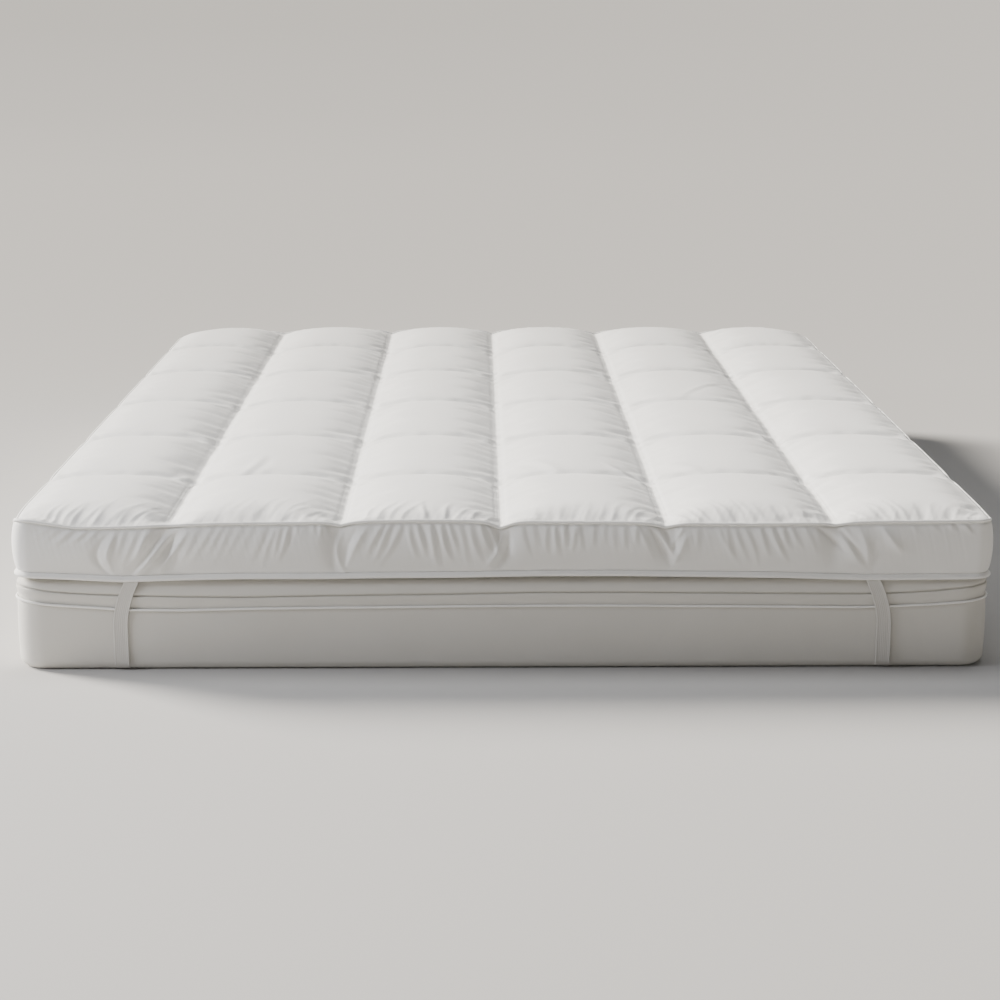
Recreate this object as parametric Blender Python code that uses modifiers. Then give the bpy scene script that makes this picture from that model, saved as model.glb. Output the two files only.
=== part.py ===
"""A quilted mattress topper on a plain mattress, held on by an elastic strap under each corner.

Metres, +Z up. The origin is on the underside of the mattress, below its middle.
The foot of the bed faces -Y, its head +Y, and X runs across it.
"""
import math

import bmesh
import bpy
from mathutils import Vector

# ---------------------------------------------------------------- driving sizes, metres
GAP = 0.0003  # between pieces that lie on each other

MATTRESS_WIDTH = 1.534
MATTRESS_LENGTH = 2.028
MATTRESS_HEIGHT = 0.145
MATTRESS_CORNER = 0.045  # plan radius

TOPPER_WIDTH = 1.536  # over the top piping
TOPPER_LENGTH = 2.030
TOPPER_SIDE = 0.092  # from the underside to the top piping
TOPPER_CORNER = 0.022  # plan radius of the top seam
SEAMS_ACROSS = (-0.520, -0.253, -0.004, 0.253, 0.516)  # X of the lengthwise quilting seams
SEAMS_ALONG = (-0.702, -0.366, -0.010, 0.352, 0.702)  # Y of the cross seams
CROWN = 0.019  # a cell's middle above the top piping
VALLEY = 0.012  # a lengthwise seam below the top piping
CROSSING = 0.003  # how much deeper a lengthwise seam is where a cross seam meets it
CROSS_DIP = 0.68  # share of the crown that a cross seam takes away
END_ROLL = 0.090  # how far in from the foot or head the crown reaches its height
BULGE = 0.0087  # how far the side stands out past its seams
PINCH = 0.75  # share of the bulge that a seam's end draws in
PINCH_WIDTH = 0.018
DRAW_IN = 0.003  # how far a seam's end pulls the top piping in

TOP_PIPING = 0.0022  # radius
BOTTOM_PIPING = 0.0035
TOP_PIPING_OUT = 0.0026  # from the seam to the middle of the cord
BOTTOM_PIPING_OUT = 0.0040

TAPE_LOW = 0.1048  # the woven tape round the mattress, above its floor
TAPE_HIGH = 0.1222
TAPE_THICK = 0.0016
TAPE_CROWN = 0.0005
MATTRESS_PIPING = 0.0020  # radius
MATTRESS_PIPING_HEIGHT = 0.1008

STRAP_WIDTH = 0.023
STRAP_THICK = 0.0015
STRAP_OUT = 0.00325  # from the mattress's face to the middle of the strap
STRAP_SEWN_OUT = 0.0012  # the same where it is sewn on, above the mattress's lip
STRAP_LEAN = 0.45  # share of its way down the face in which it leans out
STRAP_TOP = 0.1880  # from the mattress's corner to the strap, where it is sewn on
STRAP_LOW = 0.1685  # the same where it hangs straight
STRAP_BEND_LOW = 0.086  # height at which it becomes straight
STRAP_UNDER = 0.00105  # height of its middle where it runs under the mattress
SEWN_HEIGHT = 0.1445  # above this a strap's edge is level, for its seam
STRAP_TURN = 0.030  # how far it keeps straight before it turns under the corner
GROOVE_SIDE = 0.002  # room beside the strap in the hollow that it presses
GROOVE_DEEP = 0.0012  # room from its middle to the foam above it

# ---------------------------------------------------------------- worked out from them
SEAM_X = TOPPER_WIDTH / 2 - TOP_PIPING - TOP_PIPING_OUT  # half sizes of the top seam
SEAM_Y = TOPPER_LENGTH / 2 - TOP_PIPING - TOP_PIPING_OUT
UNDERSIDE = MATTRESS_HEIGHT + GAP
PIPING_HEIGHT = UNDERSIDE + TOPPER_SIDE
COLUMN_EDGES = (-SEAM_X, *SEAMS_ACROSS, SEAM_X)
ROW_EDGES = (-SEAM_Y, *SEAMS_ALONG, SEAM_Y)
FACE_X = MATTRESS_WIDTH / 2
FACE_Y = MATTRESS_LENGTH / 2

# Where the grid's lines lie in a column or a row, as shares of it: close together at a seam.
END_COLUMN = (0.0, 0.04, 0.10, 0.20, 0.31, 0.50, 0.69, 0.84, 0.94)
INNER_COLUMN = (0.0, 0.06, 0.16, 0.32, 0.50, 0.68, 0.84, 0.94)
END_ROW = (0.0, 0.03, 0.075, 0.15, 0.231, 0.50, 0.75, 0.92)
INNER_ROW = (0.0, 0.08, 0.25, 0.50, 0.75, 0.92)

# The top piping isn't level. How far a column's middle lifts it, and how far a seam's end pulls
# it down, in millimetres from left to right.
FOOT_LIFT = (-7.0, -0.5, 3.0, -0.2, -4.0, -0.3)
FOOT_DIP = (1.0, 6.0, 11.0, 7.0, 4.5)
HEAD_LIFT = (-3.0, 0.5, 1.5, 0.0, -1.5, -2.0)
HEAD_DIP = (5.0, 7.0, 8.0, 7.0, 5.0)
DIP_WIDTH = 0.020
SIDE_DIP = 0.004  # the same at a cross seam's end
CORNER_LIFTS = (12.0, 1.0, -12.0, -12.0)  # foot left and right, head left and right, millimetres
CORNER_REACH = 0.115  # how far across the bed a corner's lift reaches
CORNER_DEPTHS = (0.030, 0.115)  # the same along the bed, at the foot and at the head

# The side, from the top seam to the bottom one: share of its height, share of the bulge.
SIDE_RINGS = (
    (0.07, 0.15),
    (0.22, 0.66),
    (0.42, 1.00),
    (0.62, 0.95),
    (0.80, 0.62),
    (0.91, 0.20),
    (1.00, 0.00),
)
LAST_RING_HEIGHT = 0.0078  # the bottom of the side above the underside
BOTTOM_SEAM_IN = 0.0008  # the edge of the underside, in from the top seam

# The pulled folds in the side at the foot, where the quilting seams end and the straps pull. Each
# row is one fold: place across the bed at its top and at its bottom, how far it stands out, how
# wide it is each way, all in millimetres, and the shares of the side's height that it spans.
# The head has the same folds, turned half round.
END_FOLDS = (
    (-614, -621, -3.5, 6, 0.08, 0.98),
    (-604, -609, 3.0, 6, 0.08, 0.98),
    (-590, -596, -2.5, 6, 0.15, 0.95),
    (-516, -582, -4.0, 8, 0.08, 1.00),
    (-503, -571, 6.0, 8, 0.08, 1.00),
    (-494, -553, -5.0, 7, 0.08, 0.98),
    (-486, -538, 5.0, 7, 0.08, 0.92),
    (-264, -257, 3.0, 7, 0.08, 0.80),
    (-252, -249, -4.0, 6, 0.10, 1.00),
    (-240, -243, 3.0, 7, 0.08, 0.80),
    (-8, -36, 4.0, 8, 0.08, 0.85),
    (6, -22, -6.0, 7, 0.08, 0.95),
    (20, 3, 3.5, 8, 0.08, 0.80),
    (225, 264, -4.0, 7, 0.08, 0.90),
    (256, 279, 4.0, 8, 0.08, 0.80),
    (272, 286, 3.0, 7, 0.08, 0.75),
    (493, 529, -3.0, 7, 0.08, 0.55),
    (522, 566, -4.0, 7, 0.08, 0.95),
    (533, 575, 4.0, 7, 0.08, 0.95),
    (586, 618, 4.0, 8, 0.08, 0.65),
)
FOLD_CUTS = 2  # cuts of each step along the foot and the head, so that the folds show

# The mattress from its floor up: how far out from its face, and height.
FLOOR_ROUND = 0.015
LIP_ROUND = 0.020
NOTCH = 0.0029  # depth of the groove that the mattress's piping lies in
NOTCH_HALF = 0.0034
TAPE_REBATE = 0.0012
CREASE = 0.0034
ARC_STEPS = 5
CORNER_STEPS = 8
FACE_STEPS = 7  # of a strap, down the mattress's face
BEND_STEPS = 6  # of a strap, round the mattress's floor edge
TURN_STEPS = 5  # of a strap, to the middle of its run under the corner
HOLLOW_FROM = FACE_STEPS + 2  # the station at which its hollow begins
HOLLOW_BELOW = 0.006  # how far a hollow's cutter reaches below the strap's middle


# ---------------------------------------------------------------- scene and materials
def clear_scene():
    for ob in list(bpy.data.objects):
        bpy.data.objects.remove(ob, do_unlink=True)


def new_collection(name):
    collection = bpy.data.collections.new(name)
    bpy.context.scene.collection.children.link(collection)
    return collection


def fabric(name, colour, roughness):
    material = bpy.data.materials.new(name)
    material.use_nodes = True
    shader = material.node_tree.nodes["Principled BSDF"]
    shader.inputs["Base Color"].default_value = (*colour, 1.0)
    shader.inputs["Roughness"].default_value = roughness
    shader.inputs["Metallic"].default_value = 0.0
    return material


def add_object(name, mesh, collection, material):
    ob = bpy.data.objects.new(name, mesh)
    collection.objects.link(ob)
    if material is not None:
        mesh.materials.append(material)
    return ob


def mesh_object(name, bm, collection, material, smooth=True):
    mesh = bpy.data.meshes.new(name)
    bm.to_mesh(mesh)
    bm.free()
    if smooth:
        mesh.shade_smooth()
    return add_object(name, mesh, collection, material)


# ---------------------------------------------------------------- small shape functions
def bump(distance, width):
    """1 at no distance, falling softly to 0 past the width."""
    return math.exp(-((distance / width) ** 2))


def ease(share):
    """0 to 1 with level ends."""
    share = min(1.0, max(0.0, share))
    return share * share * (3.0 - 2.0 * share)


def tube(share, power):
    """Height of a filled tube at a share of its width: 0 at both seams, 1 between them."""
    return max(0.0, 4.0 * share * (1.0 - share)) ** power


def grid_lines(edges, end_shares, inner_shares):
    """Places of the grid's lines between the seams, with the last column or row mirrored."""
    lines = []
    for index, (low, high) in enumerate(zip(edges, edges[1:-1])):
        shares = end_shares if index == 0 else inner_shares
        lines += [low + share * (high - low) for share in shares]
    low, high = edges[-2:]
    lines.append(low)
    lines += [high - share * (high - low) for share in reversed(end_shares)]
    return lines


def cell(place, edges):
    """The column or row that a place lies in, and its share of the way across it."""
    index = 0
    while index < len(edges) - 2 and place >= edges[index + 1]:
        index += 1
    low, high = edges[index : index + 2]
    return index, min(1.0, max(0.0, (place - low) / (high - low)))


def corner_block(x, y, half_x, half_y, radius):
    """A point of a rectangle, moved so that each corner's block fills a quarter of a disc.

    Also returns the outward direction there, which is a unit vector on the rim.
    """
    a = max(0.0, (abs(x) - half_x + radius) / radius)
    b = max(0.0, (abs(y) - half_y + radius) / radius)
    disc_a = a * math.sqrt(1.0 - b * b / 2.0)
    disc_b = b * math.sqrt(1.0 - a * a / 2.0)
    if a > 0.0:
        x = math.copysign(half_x - radius + radius * disc_a, x)
    if b > 0.0:
        y = math.copysign(half_y - radius + radius * disc_b, y)
    return x, y, Vector((math.copysign(disc_a, x), math.copysign(disc_b, y), 0.0))


# ---------------------------------------------------------------- the topper's form
def end_lift(x, lifts, dips):
    """Height of the top piping along the foot or the head, from the middle of each column."""
    column, across = cell(x, COLUMN_EDGES)
    place = column + across - 0.5
    left = max(0, math.floor(place))
    right = min(len(lifts) - 1, left + 1)
    lift = lifts[left] + (lifts[right] - lifts[left]) * ease(place - left)
    for seam, dip in zip(SEAMS_ACROSS, dips):
        lift -= dip * bump(x - seam, DIP_WIDTH)
    return lift / 1000.0


def side_lift(y):
    """Height of the top piping along a side, where the cross seams end."""
    return -sum(SIDE_DIP * bump(y - seam, DIP_WIDTH) for seam in SEAMS_ALONG)


def corner_lift(x, y):
    """How far the topper rises or falls towards a corner."""
    depth = CORNER_DEPTHS[1 if y > 0.0 else 0]
    a = max(0.0, (abs(x) - SEAM_X + CORNER_REACH) / CORNER_REACH)
    b = max(0.0, (abs(y) - SEAM_Y + depth) / depth)
    corner = (1 if x > 0.0 else 0) + (2 if y > 0.0 else 0)
    return CORNER_LIFTS[corner] / 1000.0 * ease(a) * ease(b)


def cell_crown(column, row):
    """Height of a cell's middle; no two cells are filled quite alike."""
    uneven = 0.6 * math.sin(2.1 * column + 1.3 * row) + 0.4 * math.sin(4.7 * column - 2.9 * row)
    return CROWN * (1.0 + 0.07 * uneven)


def top_height(x, y):
    """Height of the quilted top above the level of the top piping."""
    column, across = cell(x, COLUMN_EDGES)
    row, along = cell(y, ROW_EDGES)
    at_end = (row == 0 and along < 0.5) or (row == len(SEAMS_ALONG) and along > 0.5)
    filled = 1.0 if at_end else tube(along, 0.5)
    crest = cell_crown(column, row) * (1.0 - CROSS_DIP * (1.0 - filled))
    seam = -VALLEY - CROSSING * (1.0 - filled)
    if column == 0:
        seam = side_lift(y) + (seam - side_lift(y)) * across
    if column == len(SEAMS_ACROSS):
        seam = side_lift(y) + (seam - side_lift(y)) * (1.0 - across)
    inner = seam + (crest - seam) * tube(across, 0.55)

    from_end = SEAM_Y - abs(y)
    roll = math.sqrt(1.0 - (1.0 - min(1.0, from_end / END_ROLL)) ** 2)
    rim = end_lift(x, FOOT_LIFT, FOOT_DIP) if y < 0.0 else end_lift(x, HEAD_LIFT, HEAD_DIP)
    return rim + (inner - rim) * roll + corner_lift(x, y)


def seam_end(x, y):
    """How near a point of the rim is to the end of a quilting seam, from 0 to 1."""
    if SEAM_Y - abs(y) < SEAM_X - abs(x):
        return max(bump(x - seam, PINCH_WIDTH) for seam in SEAMS_ACROSS)
    return 0.5 * max(bump(y - seam, PINCH_WIDTH) for seam in SEAMS_ALONG)


def end_fold(x, fall):
    """How far the folds at the foot stand out at a place across the bed and down the side."""
    stand = 0.0
    for top_x, bottom_x, depth, half, start, end in END_FOLDS:
        if not start < fall < end:
            continue
        middle = top_x + (bottom_x - top_x) * fall
        share = math.sin(math.pi * (fall - start) / (end - start))
        stand += depth * share * bump(x * 1000.0 - middle, half)
    return stand / 1000.0


def top_seam():
    """The top seam round the topper: its points, outward directions and nearness to a seam's end.

    It starts at the foot's left corner and runs anticlockwise, seen from above.
    """
    xs = grid_lines(COLUMN_EDGES, END_COLUMN, INNER_COLUMN)
    ys = grid_lines(ROW_EDGES, END_ROW, INNER_ROW)
    rim = [(x, -SEAM_Y) for x in xs[:-1]] + [(SEAM_X, y) for y in ys[:-1]]
    rim += [(x, SEAM_Y) for x in reversed(xs[1:])] + [(-SEAM_X, y) for y in reversed(ys[1:])]
    stations = []
    for grid_x, grid_y in rim:
        x, y, out = corner_block(grid_x, grid_y, SEAM_X, SEAM_Y, TOPPER_CORNER)
        near = seam_end(grid_x, grid_y)
        point = Vector((x, y, PIPING_HEIGHT + top_height(grid_x, grid_y))) - out * DRAW_IN * near
        stations.append((point, out, near))
    return stations


def topper_pad(collection, material):
    """One filled body: a grid raised into 6 x 6 crowned cells, its rim drawn down as the side."""
    xs = grid_lines(COLUMN_EDGES, END_COLUMN, INNER_COLUMN)
    ys = grid_lines(ROW_EDGES, END_ROW, INNER_ROW)
    bm = bmesh.new()
    bmesh.ops.create_grid(bm, x_segments=len(xs) - 1, y_segments=len(ys) - 1, size=1.0)
    lattice = {}
    for vert in bm.verts:
        column = round((vert.co.x + 1.0) / 2.0 * (len(xs) - 1))
        row = round((vert.co.y + 1.0) / 2.0 * (len(ys) - 1))
        lattice[column, row] = vert
    for (column, row), vert in lattice.items():
        x, y, _ = corner_block(xs[column], ys[row], SEAM_X, SEAM_Y, TOPPER_CORNER)
        vert.co = (x, y, PIPING_HEIGHT + top_height(xs[column], ys[row]))

    last_x = len(xs) - 1
    last_y = len(ys) - 1
    ring = [lattice[i, 0] for i in range(last_x)] + [lattice[last_x, j] for j in range(last_y)]
    ring += [lattice[i, last_y] for i in range(last_x, 0, -1)]
    ring += [lattice[0, j] for j in range(last_y, 0, -1)]
    seam = top_seam()
    for vert, (point, _, _) in zip(ring, seam):
        vert.co = point

    rings = [ring]
    last_height = UNDERSIDE + LAST_RING_HEIGHT
    for fall, out_share in SIDE_RINGS:
        ring = extrude_ring(bm, ring)
        rings.append(ring)
        for vert, (point, out, near) in zip(ring, seam):
            flat = point + out * DRAW_IN * near * fall
            stand = BULGE * out_share * (1.0 - PINCH * near)
            height = point.z + (last_height - point.z) * fall
            vert.co = (flat.x + out.x * stand, flat.y + out.y * stand, height)
    ring = extrude_ring(bm, ring)
    for vert, (point, out, near) in zip(ring, seam):
        edge = point + out * (DRAW_IN * near - BOTTOM_SEAM_IN)
        vert.co = (edge.x, edge.y, UNDERSIDE)
    close_ring(bm, ring)
    fold_ends(bm, rings)
    bmesh.ops.recalc_face_normals(bm, faces=bm.faces)
    return mesh_object("topper_pad", bm, collection, material)


def fold_ends(bm, rings):
    """Cuts the side at the foot and head more finely, from the second ring down, and folds it."""
    straight = SEAM_X - TOPPER_CORNER
    edges = []
    for ring in rings[1:]:
        for first, second in zip(ring, ring[1:]):
            middle = (first.co + second.co) / 2
            if abs(middle.y) > SEAM_Y - DRAW_IN and abs(middle.x) < straight:
                edges.append(bm.edges.get((first, second)))
    bmesh.ops.subdivide_edges(bm, edges=edges, cuts=FOLD_CUTS, use_grid_fill=True)
    last_height = UNDERSIDE + LAST_RING_HEIGHT
    for vert in bm.verts:
        if abs(vert.co.y) < SEAM_Y or abs(vert.co.x) > straight:
            continue
        end = math.copysign(1.0, vert.co.y)
        top = PIPING_HEIGHT + top_height(vert.co.x, end * SEAM_Y)
        fall = (top - vert.co.z) / (top - last_height)
        vert.co.y += end * end_fold(-end * vert.co.x, fall)


def extrude_ring(bm, ring):
    """Extrudes a closed loop of vertices and returns the new loop in the same order."""
    edges = [bm.edges.get((ring[index - 1], ring[index])) for index in range(len(ring))]
    made = bmesh.ops.extrude_edge_only(bm, edges=edges)["geom"]
    fresh = {item for item in made if isinstance(item, bmesh.types.BMVert)}
    partners = []
    for vert in ring:
        partners.append(next(e.other_vert(vert) for e in vert.link_edges if e.other_vert(vert) in fresh))
    return partners


def close_ring(bm, ring):
    """Fills a level loop with a fan about its middle."""
    face = bm.faces.new(ring)
    bmesh.ops.poke(bm, faces=[face])


# ---------------------------------------------------------------- cords
def cord(name, points, radius, collection, material):
    """A closed round cord through the points."""
    curve = bpy.data.curves.new(name, "CURVE")
    curve.dimensions = "3D"
    curve.bevel_depth = radius
    curve.bevel_resolution = 2
    curve.use_fill_caps = True
    spline = curve.splines.new("POLY")
    spline.points.add(len(points) - 1)
    for control, point in zip(spline.points, points):
        control.co = (*point, 1.0)
    spline.use_cyclic_u = True
    spline.use_smooth = True
    return add_object(name, curve, collection, material)


def top_piping(collection, material):
    points = [point + out * TOP_PIPING_OUT for point, out, _ in top_seam()]
    return cord("topper_piping_top", points, TOP_PIPING, collection, material)


def bottom_piping(collection, material):
    out = BOTTOM_PIPING_OUT
    outline = plan_outline(SEAM_X + out, SEAM_Y + out, TOPPER_CORNER + out)
    points = [Vector((x, y, UNDERSIDE + BOTTOM_PIPING)) for x, y in outline]
    return cord("topper_piping_bottom", points, BOTTOM_PIPING, collection, material)


def mattress_piping(collection, material):
    outline = plan_outline(FACE_X, FACE_Y, MATTRESS_CORNER)
    points = [Vector((x, y, MATTRESS_PIPING_HEIGHT)) for x, y in outline]
    return cord("mattress_piping", points, MATTRESS_PIPING, collection, material)


# ---------------------------------------------------------------- the mattress
def plan_outline(half_x, half_y, radius):
    """A rectangle with round corners, anticlockwise from the foot's left corner."""
    points = []
    for quarter in range(4):
        sign_x = 1.0 if quarter in (1, 2) else -1.0
        sign_y = 1.0 if quarter in (2, 3) else -1.0
        for step in range(CORNER_STEPS + 1):
            angle = math.pi + math.pi / 2 * (quarter + step / CORNER_STEPS)
            x = sign_x * (half_x - radius) + radius * math.cos(angle)
            y = sign_y * (half_y - radius) + radius * math.sin(angle)
            points.append((x, y))
    return points


def mattress_profile():
    """The mattress's side from its floor up: how far out from the face, and the height."""
    profile = []
    for step in range(ARC_STEPS + 1):
        angle = math.pi / 2 * step / ARC_STEPS
        profile.append((-FLOOR_ROUND * (1.0 - math.sin(angle)), FLOOR_ROUND * (1.0 - math.cos(angle))))
    profile.append((0.0, MATTRESS_PIPING_HEIGHT - NOTCH_HALF))
    profile.append((-NOTCH, MATTRESS_PIPING_HEIGHT))
    profile.append((-TAPE_REBATE, MATTRESS_PIPING_HEIGHT + NOTCH_HALF))
    profile.append((-TAPE_REBATE, TAPE_HIGH + GAP))
    profile.append((-CREASE, TAPE_HIGH + 3 * GAP))
    for step in range(ARC_STEPS + 1):
        angle = math.pi / 2 * step / ARC_STEPS
        out = -LIP_ROUND * (1.0 - math.cos(angle))
        profile.append((out, MATTRESS_HEIGHT - LIP_ROUND * (1.0 - math.sin(angle))))
    return profile


def mattress_body(collection, material, cutters):
    """A filled block with a soft lip, a rebate for the tape and hollows under the straps."""
    bm = bmesh.new()
    ring = None
    for out, height in mattress_profile():
        outline = plan_outline(FACE_X + out, FACE_Y + out, MATTRESS_CORNER + out)
        if ring is None:
            ring = [bm.verts.new((x, y, height)) for x, y in outline]
            bm.faces.new(reversed(ring))
            continue
        ring = extrude_ring(bm, ring)
        for vert, (x, y) in zip(ring, outline):
            vert.co = (x, y, height)
    bm.faces.new(ring)
    bmesh.ops.recalc_face_normals(bm, faces=bm.faces)
    body = mesh_object("mattress_body", bm, collection, material)
    for cutter in cutters:
        cut = body.modifiers.new(cutter.name, "BOOLEAN")
        cut.operation = "DIFFERENCE"
        cut.solver = "EXACT"
        cut.object = cutter
    return body


def mattress_tape(collection, material):
    """The woven tape sewn round the mattress below its lip."""
    bm = bmesh.new()
    inner = GAP - TAPE_REBATE
    middle = (TAPE_LOW + TAPE_HIGH) / 2
    ring = None
    for out, height in ((inner, TAPE_LOW), (inner + TAPE_CROWN, middle), (inner, TAPE_HIGH)):
        outline = plan_outline(FACE_X + out, FACE_Y + out, MATTRESS_CORNER + out)
        if ring is None:
            ring = [bm.verts.new((x, y, height)) for x, y in outline]
            for index in range(len(ring)):
                bm.edges.new((ring[index - 1], ring[index]))
            continue
        ring = extrude_ring(bm, ring)
        for vert, (x, y) in zip(ring, outline):
            vert.co = (x, y, height)
    bmesh.ops.recalc_face_normals(bm, faces=bm.faces)
    middle_face = min(bm.faces, key=lambda face: face.calc_center_median().y)
    if middle_face.normal.y > 0.0:
        bmesh.ops.reverse_faces(bm, faces=bm.faces)
    tape = mesh_object("mattress_tape", bm, collection, material)
    wall = tape.modifiers.new("thickness", "SOLIDIFY")
    wall.thickness = TAPE_THICK
    wall.offset = 1.0
    return tape


# ---------------------------------------------------------------- the corner straps
def strap_half():
    """One strap from its sewn end to the middle of its run under the corner.

    Stations of (place, outward direction), as distances in from the mattress's side face and end
    face, and a height.
    """
    stations = []
    for step in range(FACE_STEPS + 1):
        share = step / FACE_STEPS
        height = MATTRESS_HEIGHT - GAP - (MATTRESS_HEIGHT - STRAP_BEND_LOW) * share
        across = STRAP_TOP + (STRAP_LOW - STRAP_TOP) * ease(share)
        out = STRAP_SEWN_OUT + (STRAP_OUT - STRAP_SEWN_OUT) * ease(share / STRAP_LEAN)
        stations.append((Vector((across, -out, height)), Vector((0.0, -1.0, 0.0))))
    wide = FLOOR_ROUND + STRAP_OUT
    tall = FLOOR_ROUND - STRAP_UNDER
    for step in range(BEND_STEPS + 1):
        angle = math.pi / 2 * step / BEND_STEPS
        along = FLOOR_ROUND - wide * math.cos(angle)
        height = FLOOR_ROUND - tall * math.sin(angle)
        out = Vector((0.0, -math.cos(angle), -math.sin(angle)))
        stations.append((Vector((STRAP_LOW, along, height)), out))
    start = Vector((STRAP_LOW, FLOOR_ROUND, STRAP_UNDER))
    handle = start + Vector((0.0, STRAP_TURN, 0.0))
    far_handle = Vector((handle.y, handle.x, STRAP_UNDER))
    end = Vector((start.y, start.x, STRAP_UNDER))
    for step in range(1, TURN_STEPS + 1):
        t = 0.5 * step / TURN_STEPS
        place = start * (1 - t) ** 3 + handle * 3 * t * (1 - t) ** 2
        place += far_handle * 3 * t * t * (1 - t) + end * t**3
        stations.append((place, Vector((0.0, 0.0, -1.0))))
    return stations


def strap_stations():
    """The whole strap: its other half mirrors the first about the corner's diagonal."""
    half = strap_half()
    mirrored = [(Vector((p.y, p.x, p.z)), Vector((n.y, n.x, n.z))) for p, n in half]
    return half + mirrored[-2::-1]


def strip(stations, width, sign_x, sign_y, outward):
    """An open band along the stations at one corner of the bed."""
    bm = bmesh.new()
    points = [place + out * outward for place, out in stations]
    pairs = []
    for index, (_, out) in enumerate(stations):
        before = points[max(0, index - 1)]
        after = points[min(len(points) - 1, index + 1)]
        run = after - before
        if stations[index][0].z > SEWN_HEIGHT:
            run = Vector((0.0, 0.0, run.z))
        side = out.cross(run).normalized() * width / 2
        pair = []
        for place in (points[index] - side, points[index] + side):
            x = sign_x * (FACE_X - place.x)
            y = sign_y * (FACE_Y - place.y)
            pair.append(bm.verts.new((x, y, place.z)))
        pairs.append(pair)
    for (a, b), (c, d) in zip(pairs, pairs[1:]):
        bm.faces.new((a, b, d, c))
    return bm


def strap(name, sign_x, sign_y, collection, material):
    """A flat elastic strap from the foot or head of the topper, under the corner, to its side."""
    band = strip(strap_stations(), STRAP_WIDTH, sign_x, sign_y, 0.0)
    ob = mesh_object(name, band, collection, material)
    wall = ob.modifiers.new("thickness", "SOLIDIFY")
    wall.thickness = STRAP_THICK
    wall.offset = 0.0
    return ob


def strap_hollow(name, sign_x, sign_y, collection):
    """The cutter for the hollow that a strap presses into the mattress's underside."""
    stations = strap_stations()[HOLLOW_FROM:-HOLLOW_FROM]
    width = STRAP_WIDTH + 2 * GROOVE_SIDE
    band = strip(stations, width, sign_x, sign_y, (HOLLOW_BELOW - GROOVE_DEEP) / 2)
    ob = mesh_object(name, band, collection, None, smooth=False)
    ob.hide_render = True
    ob.display_type = "WIRE"
    wall = ob.modifiers.new("thickness", "SOLIDIFY")
    wall.thickness = GROOVE_DEEP + HOLLOW_BELOW
    wall.offset = 0.0
    return ob


# ---------------------------------------------------------------- the whole
def main():
    clear_scene()
    parts = new_collection("mattress_topper_on_mattress")
    cutters = new_collection("cutters")
    cotton = fabric("white cotton cover", (0.84, 0.83, 0.81), 0.85)
    trim = fabric("white cotton piping", (0.82, 0.81, 0.78), 0.80)
    elastic = fabric("white woven elastic", (0.74, 0.72, 0.68), 0.75)
    knit = fabric("off-white knitted ticking", (0.76, 0.75, 0.71), 0.85)
    tape = fabric("off-white woven tape", (0.74, 0.73, 0.69), 0.80)

    corners = (
        ("foot_left", -1.0, -1.0),
        ("foot_right", 1.0, -1.0),
        ("head_left", -1.0, 1.0),
        ("head_right", 1.0, 1.0),
    )
    hollows = []
    for place, sign_x, sign_y in corners:
        strap("strap_" + place, sign_x, sign_y, parts, elastic)
        hollows.append(strap_hollow("hollow_" + place, sign_x, sign_y, cutters))
    mattress_body(parts, knit, hollows)
    mattress_tape(parts, tape)
    mattress_piping(parts, tape)
    topper_pad(parts, cotton)
    top_piping(parts, trim)
    bottom_piping(parts, trim)


main()
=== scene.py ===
"""Looks of a quilted mattress topper on a plain mattress, held by an elastic strap under each corner.

Metres, +Z up, in the same place as the solids that this script loads. The foot of the bed faces
-Y, its head +Y, and X runs across it. Each sub-assembly is a class that builds its meshes from the
sizes in its fields, and each finish is a small frozen class.
"""
from __future__ import annotations

import logging
import math
from dataclasses import dataclass
from enum import Enum

import bmesh
import bpy
import numpy as np
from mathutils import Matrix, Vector


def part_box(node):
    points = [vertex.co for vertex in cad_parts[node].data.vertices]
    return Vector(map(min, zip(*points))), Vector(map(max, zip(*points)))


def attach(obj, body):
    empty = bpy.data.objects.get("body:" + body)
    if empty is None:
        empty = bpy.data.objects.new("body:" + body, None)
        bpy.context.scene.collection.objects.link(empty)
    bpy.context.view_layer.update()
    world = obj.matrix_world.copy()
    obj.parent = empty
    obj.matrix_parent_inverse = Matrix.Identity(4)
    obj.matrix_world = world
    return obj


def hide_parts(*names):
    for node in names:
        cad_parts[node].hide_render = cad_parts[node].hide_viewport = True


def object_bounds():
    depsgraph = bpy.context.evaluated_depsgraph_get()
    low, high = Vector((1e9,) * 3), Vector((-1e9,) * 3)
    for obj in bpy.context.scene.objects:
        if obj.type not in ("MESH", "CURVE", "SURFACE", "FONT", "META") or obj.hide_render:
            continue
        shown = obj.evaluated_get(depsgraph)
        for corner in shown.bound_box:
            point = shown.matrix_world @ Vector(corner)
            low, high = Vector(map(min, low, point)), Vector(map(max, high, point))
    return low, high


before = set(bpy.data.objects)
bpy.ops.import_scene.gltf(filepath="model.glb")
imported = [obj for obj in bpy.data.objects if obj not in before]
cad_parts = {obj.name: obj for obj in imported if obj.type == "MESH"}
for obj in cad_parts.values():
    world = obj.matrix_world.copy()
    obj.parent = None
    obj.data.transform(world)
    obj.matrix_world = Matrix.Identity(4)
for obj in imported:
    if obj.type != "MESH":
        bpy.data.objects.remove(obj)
CAD_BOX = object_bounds()
BODY = "root"
MM = 0.001
TAU = 2.0 * math.pi

log = logging.getLogger("mattress_topper")
Array = np.ndarray


# ---------------------------------------------------------------- small shared functions
def hex_colour(code: str) -> tuple[float, float, float, float]:
    """The linear colour of an sRGB hex value.

    Args:
        code: Six hex digits after a #.

    Returns:
        Red, green, blue and alpha for a shader's socket.
    """
    parts = [int(code[start : start + 2], 16) / 255.0 for start in (1, 3, 5)]
    linear = [part / 12.92 if part <= 0.04045 else ((part + 0.055) / 1.055) ** 2.4 for part in parts]
    return (*linear, 1.0)


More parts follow.
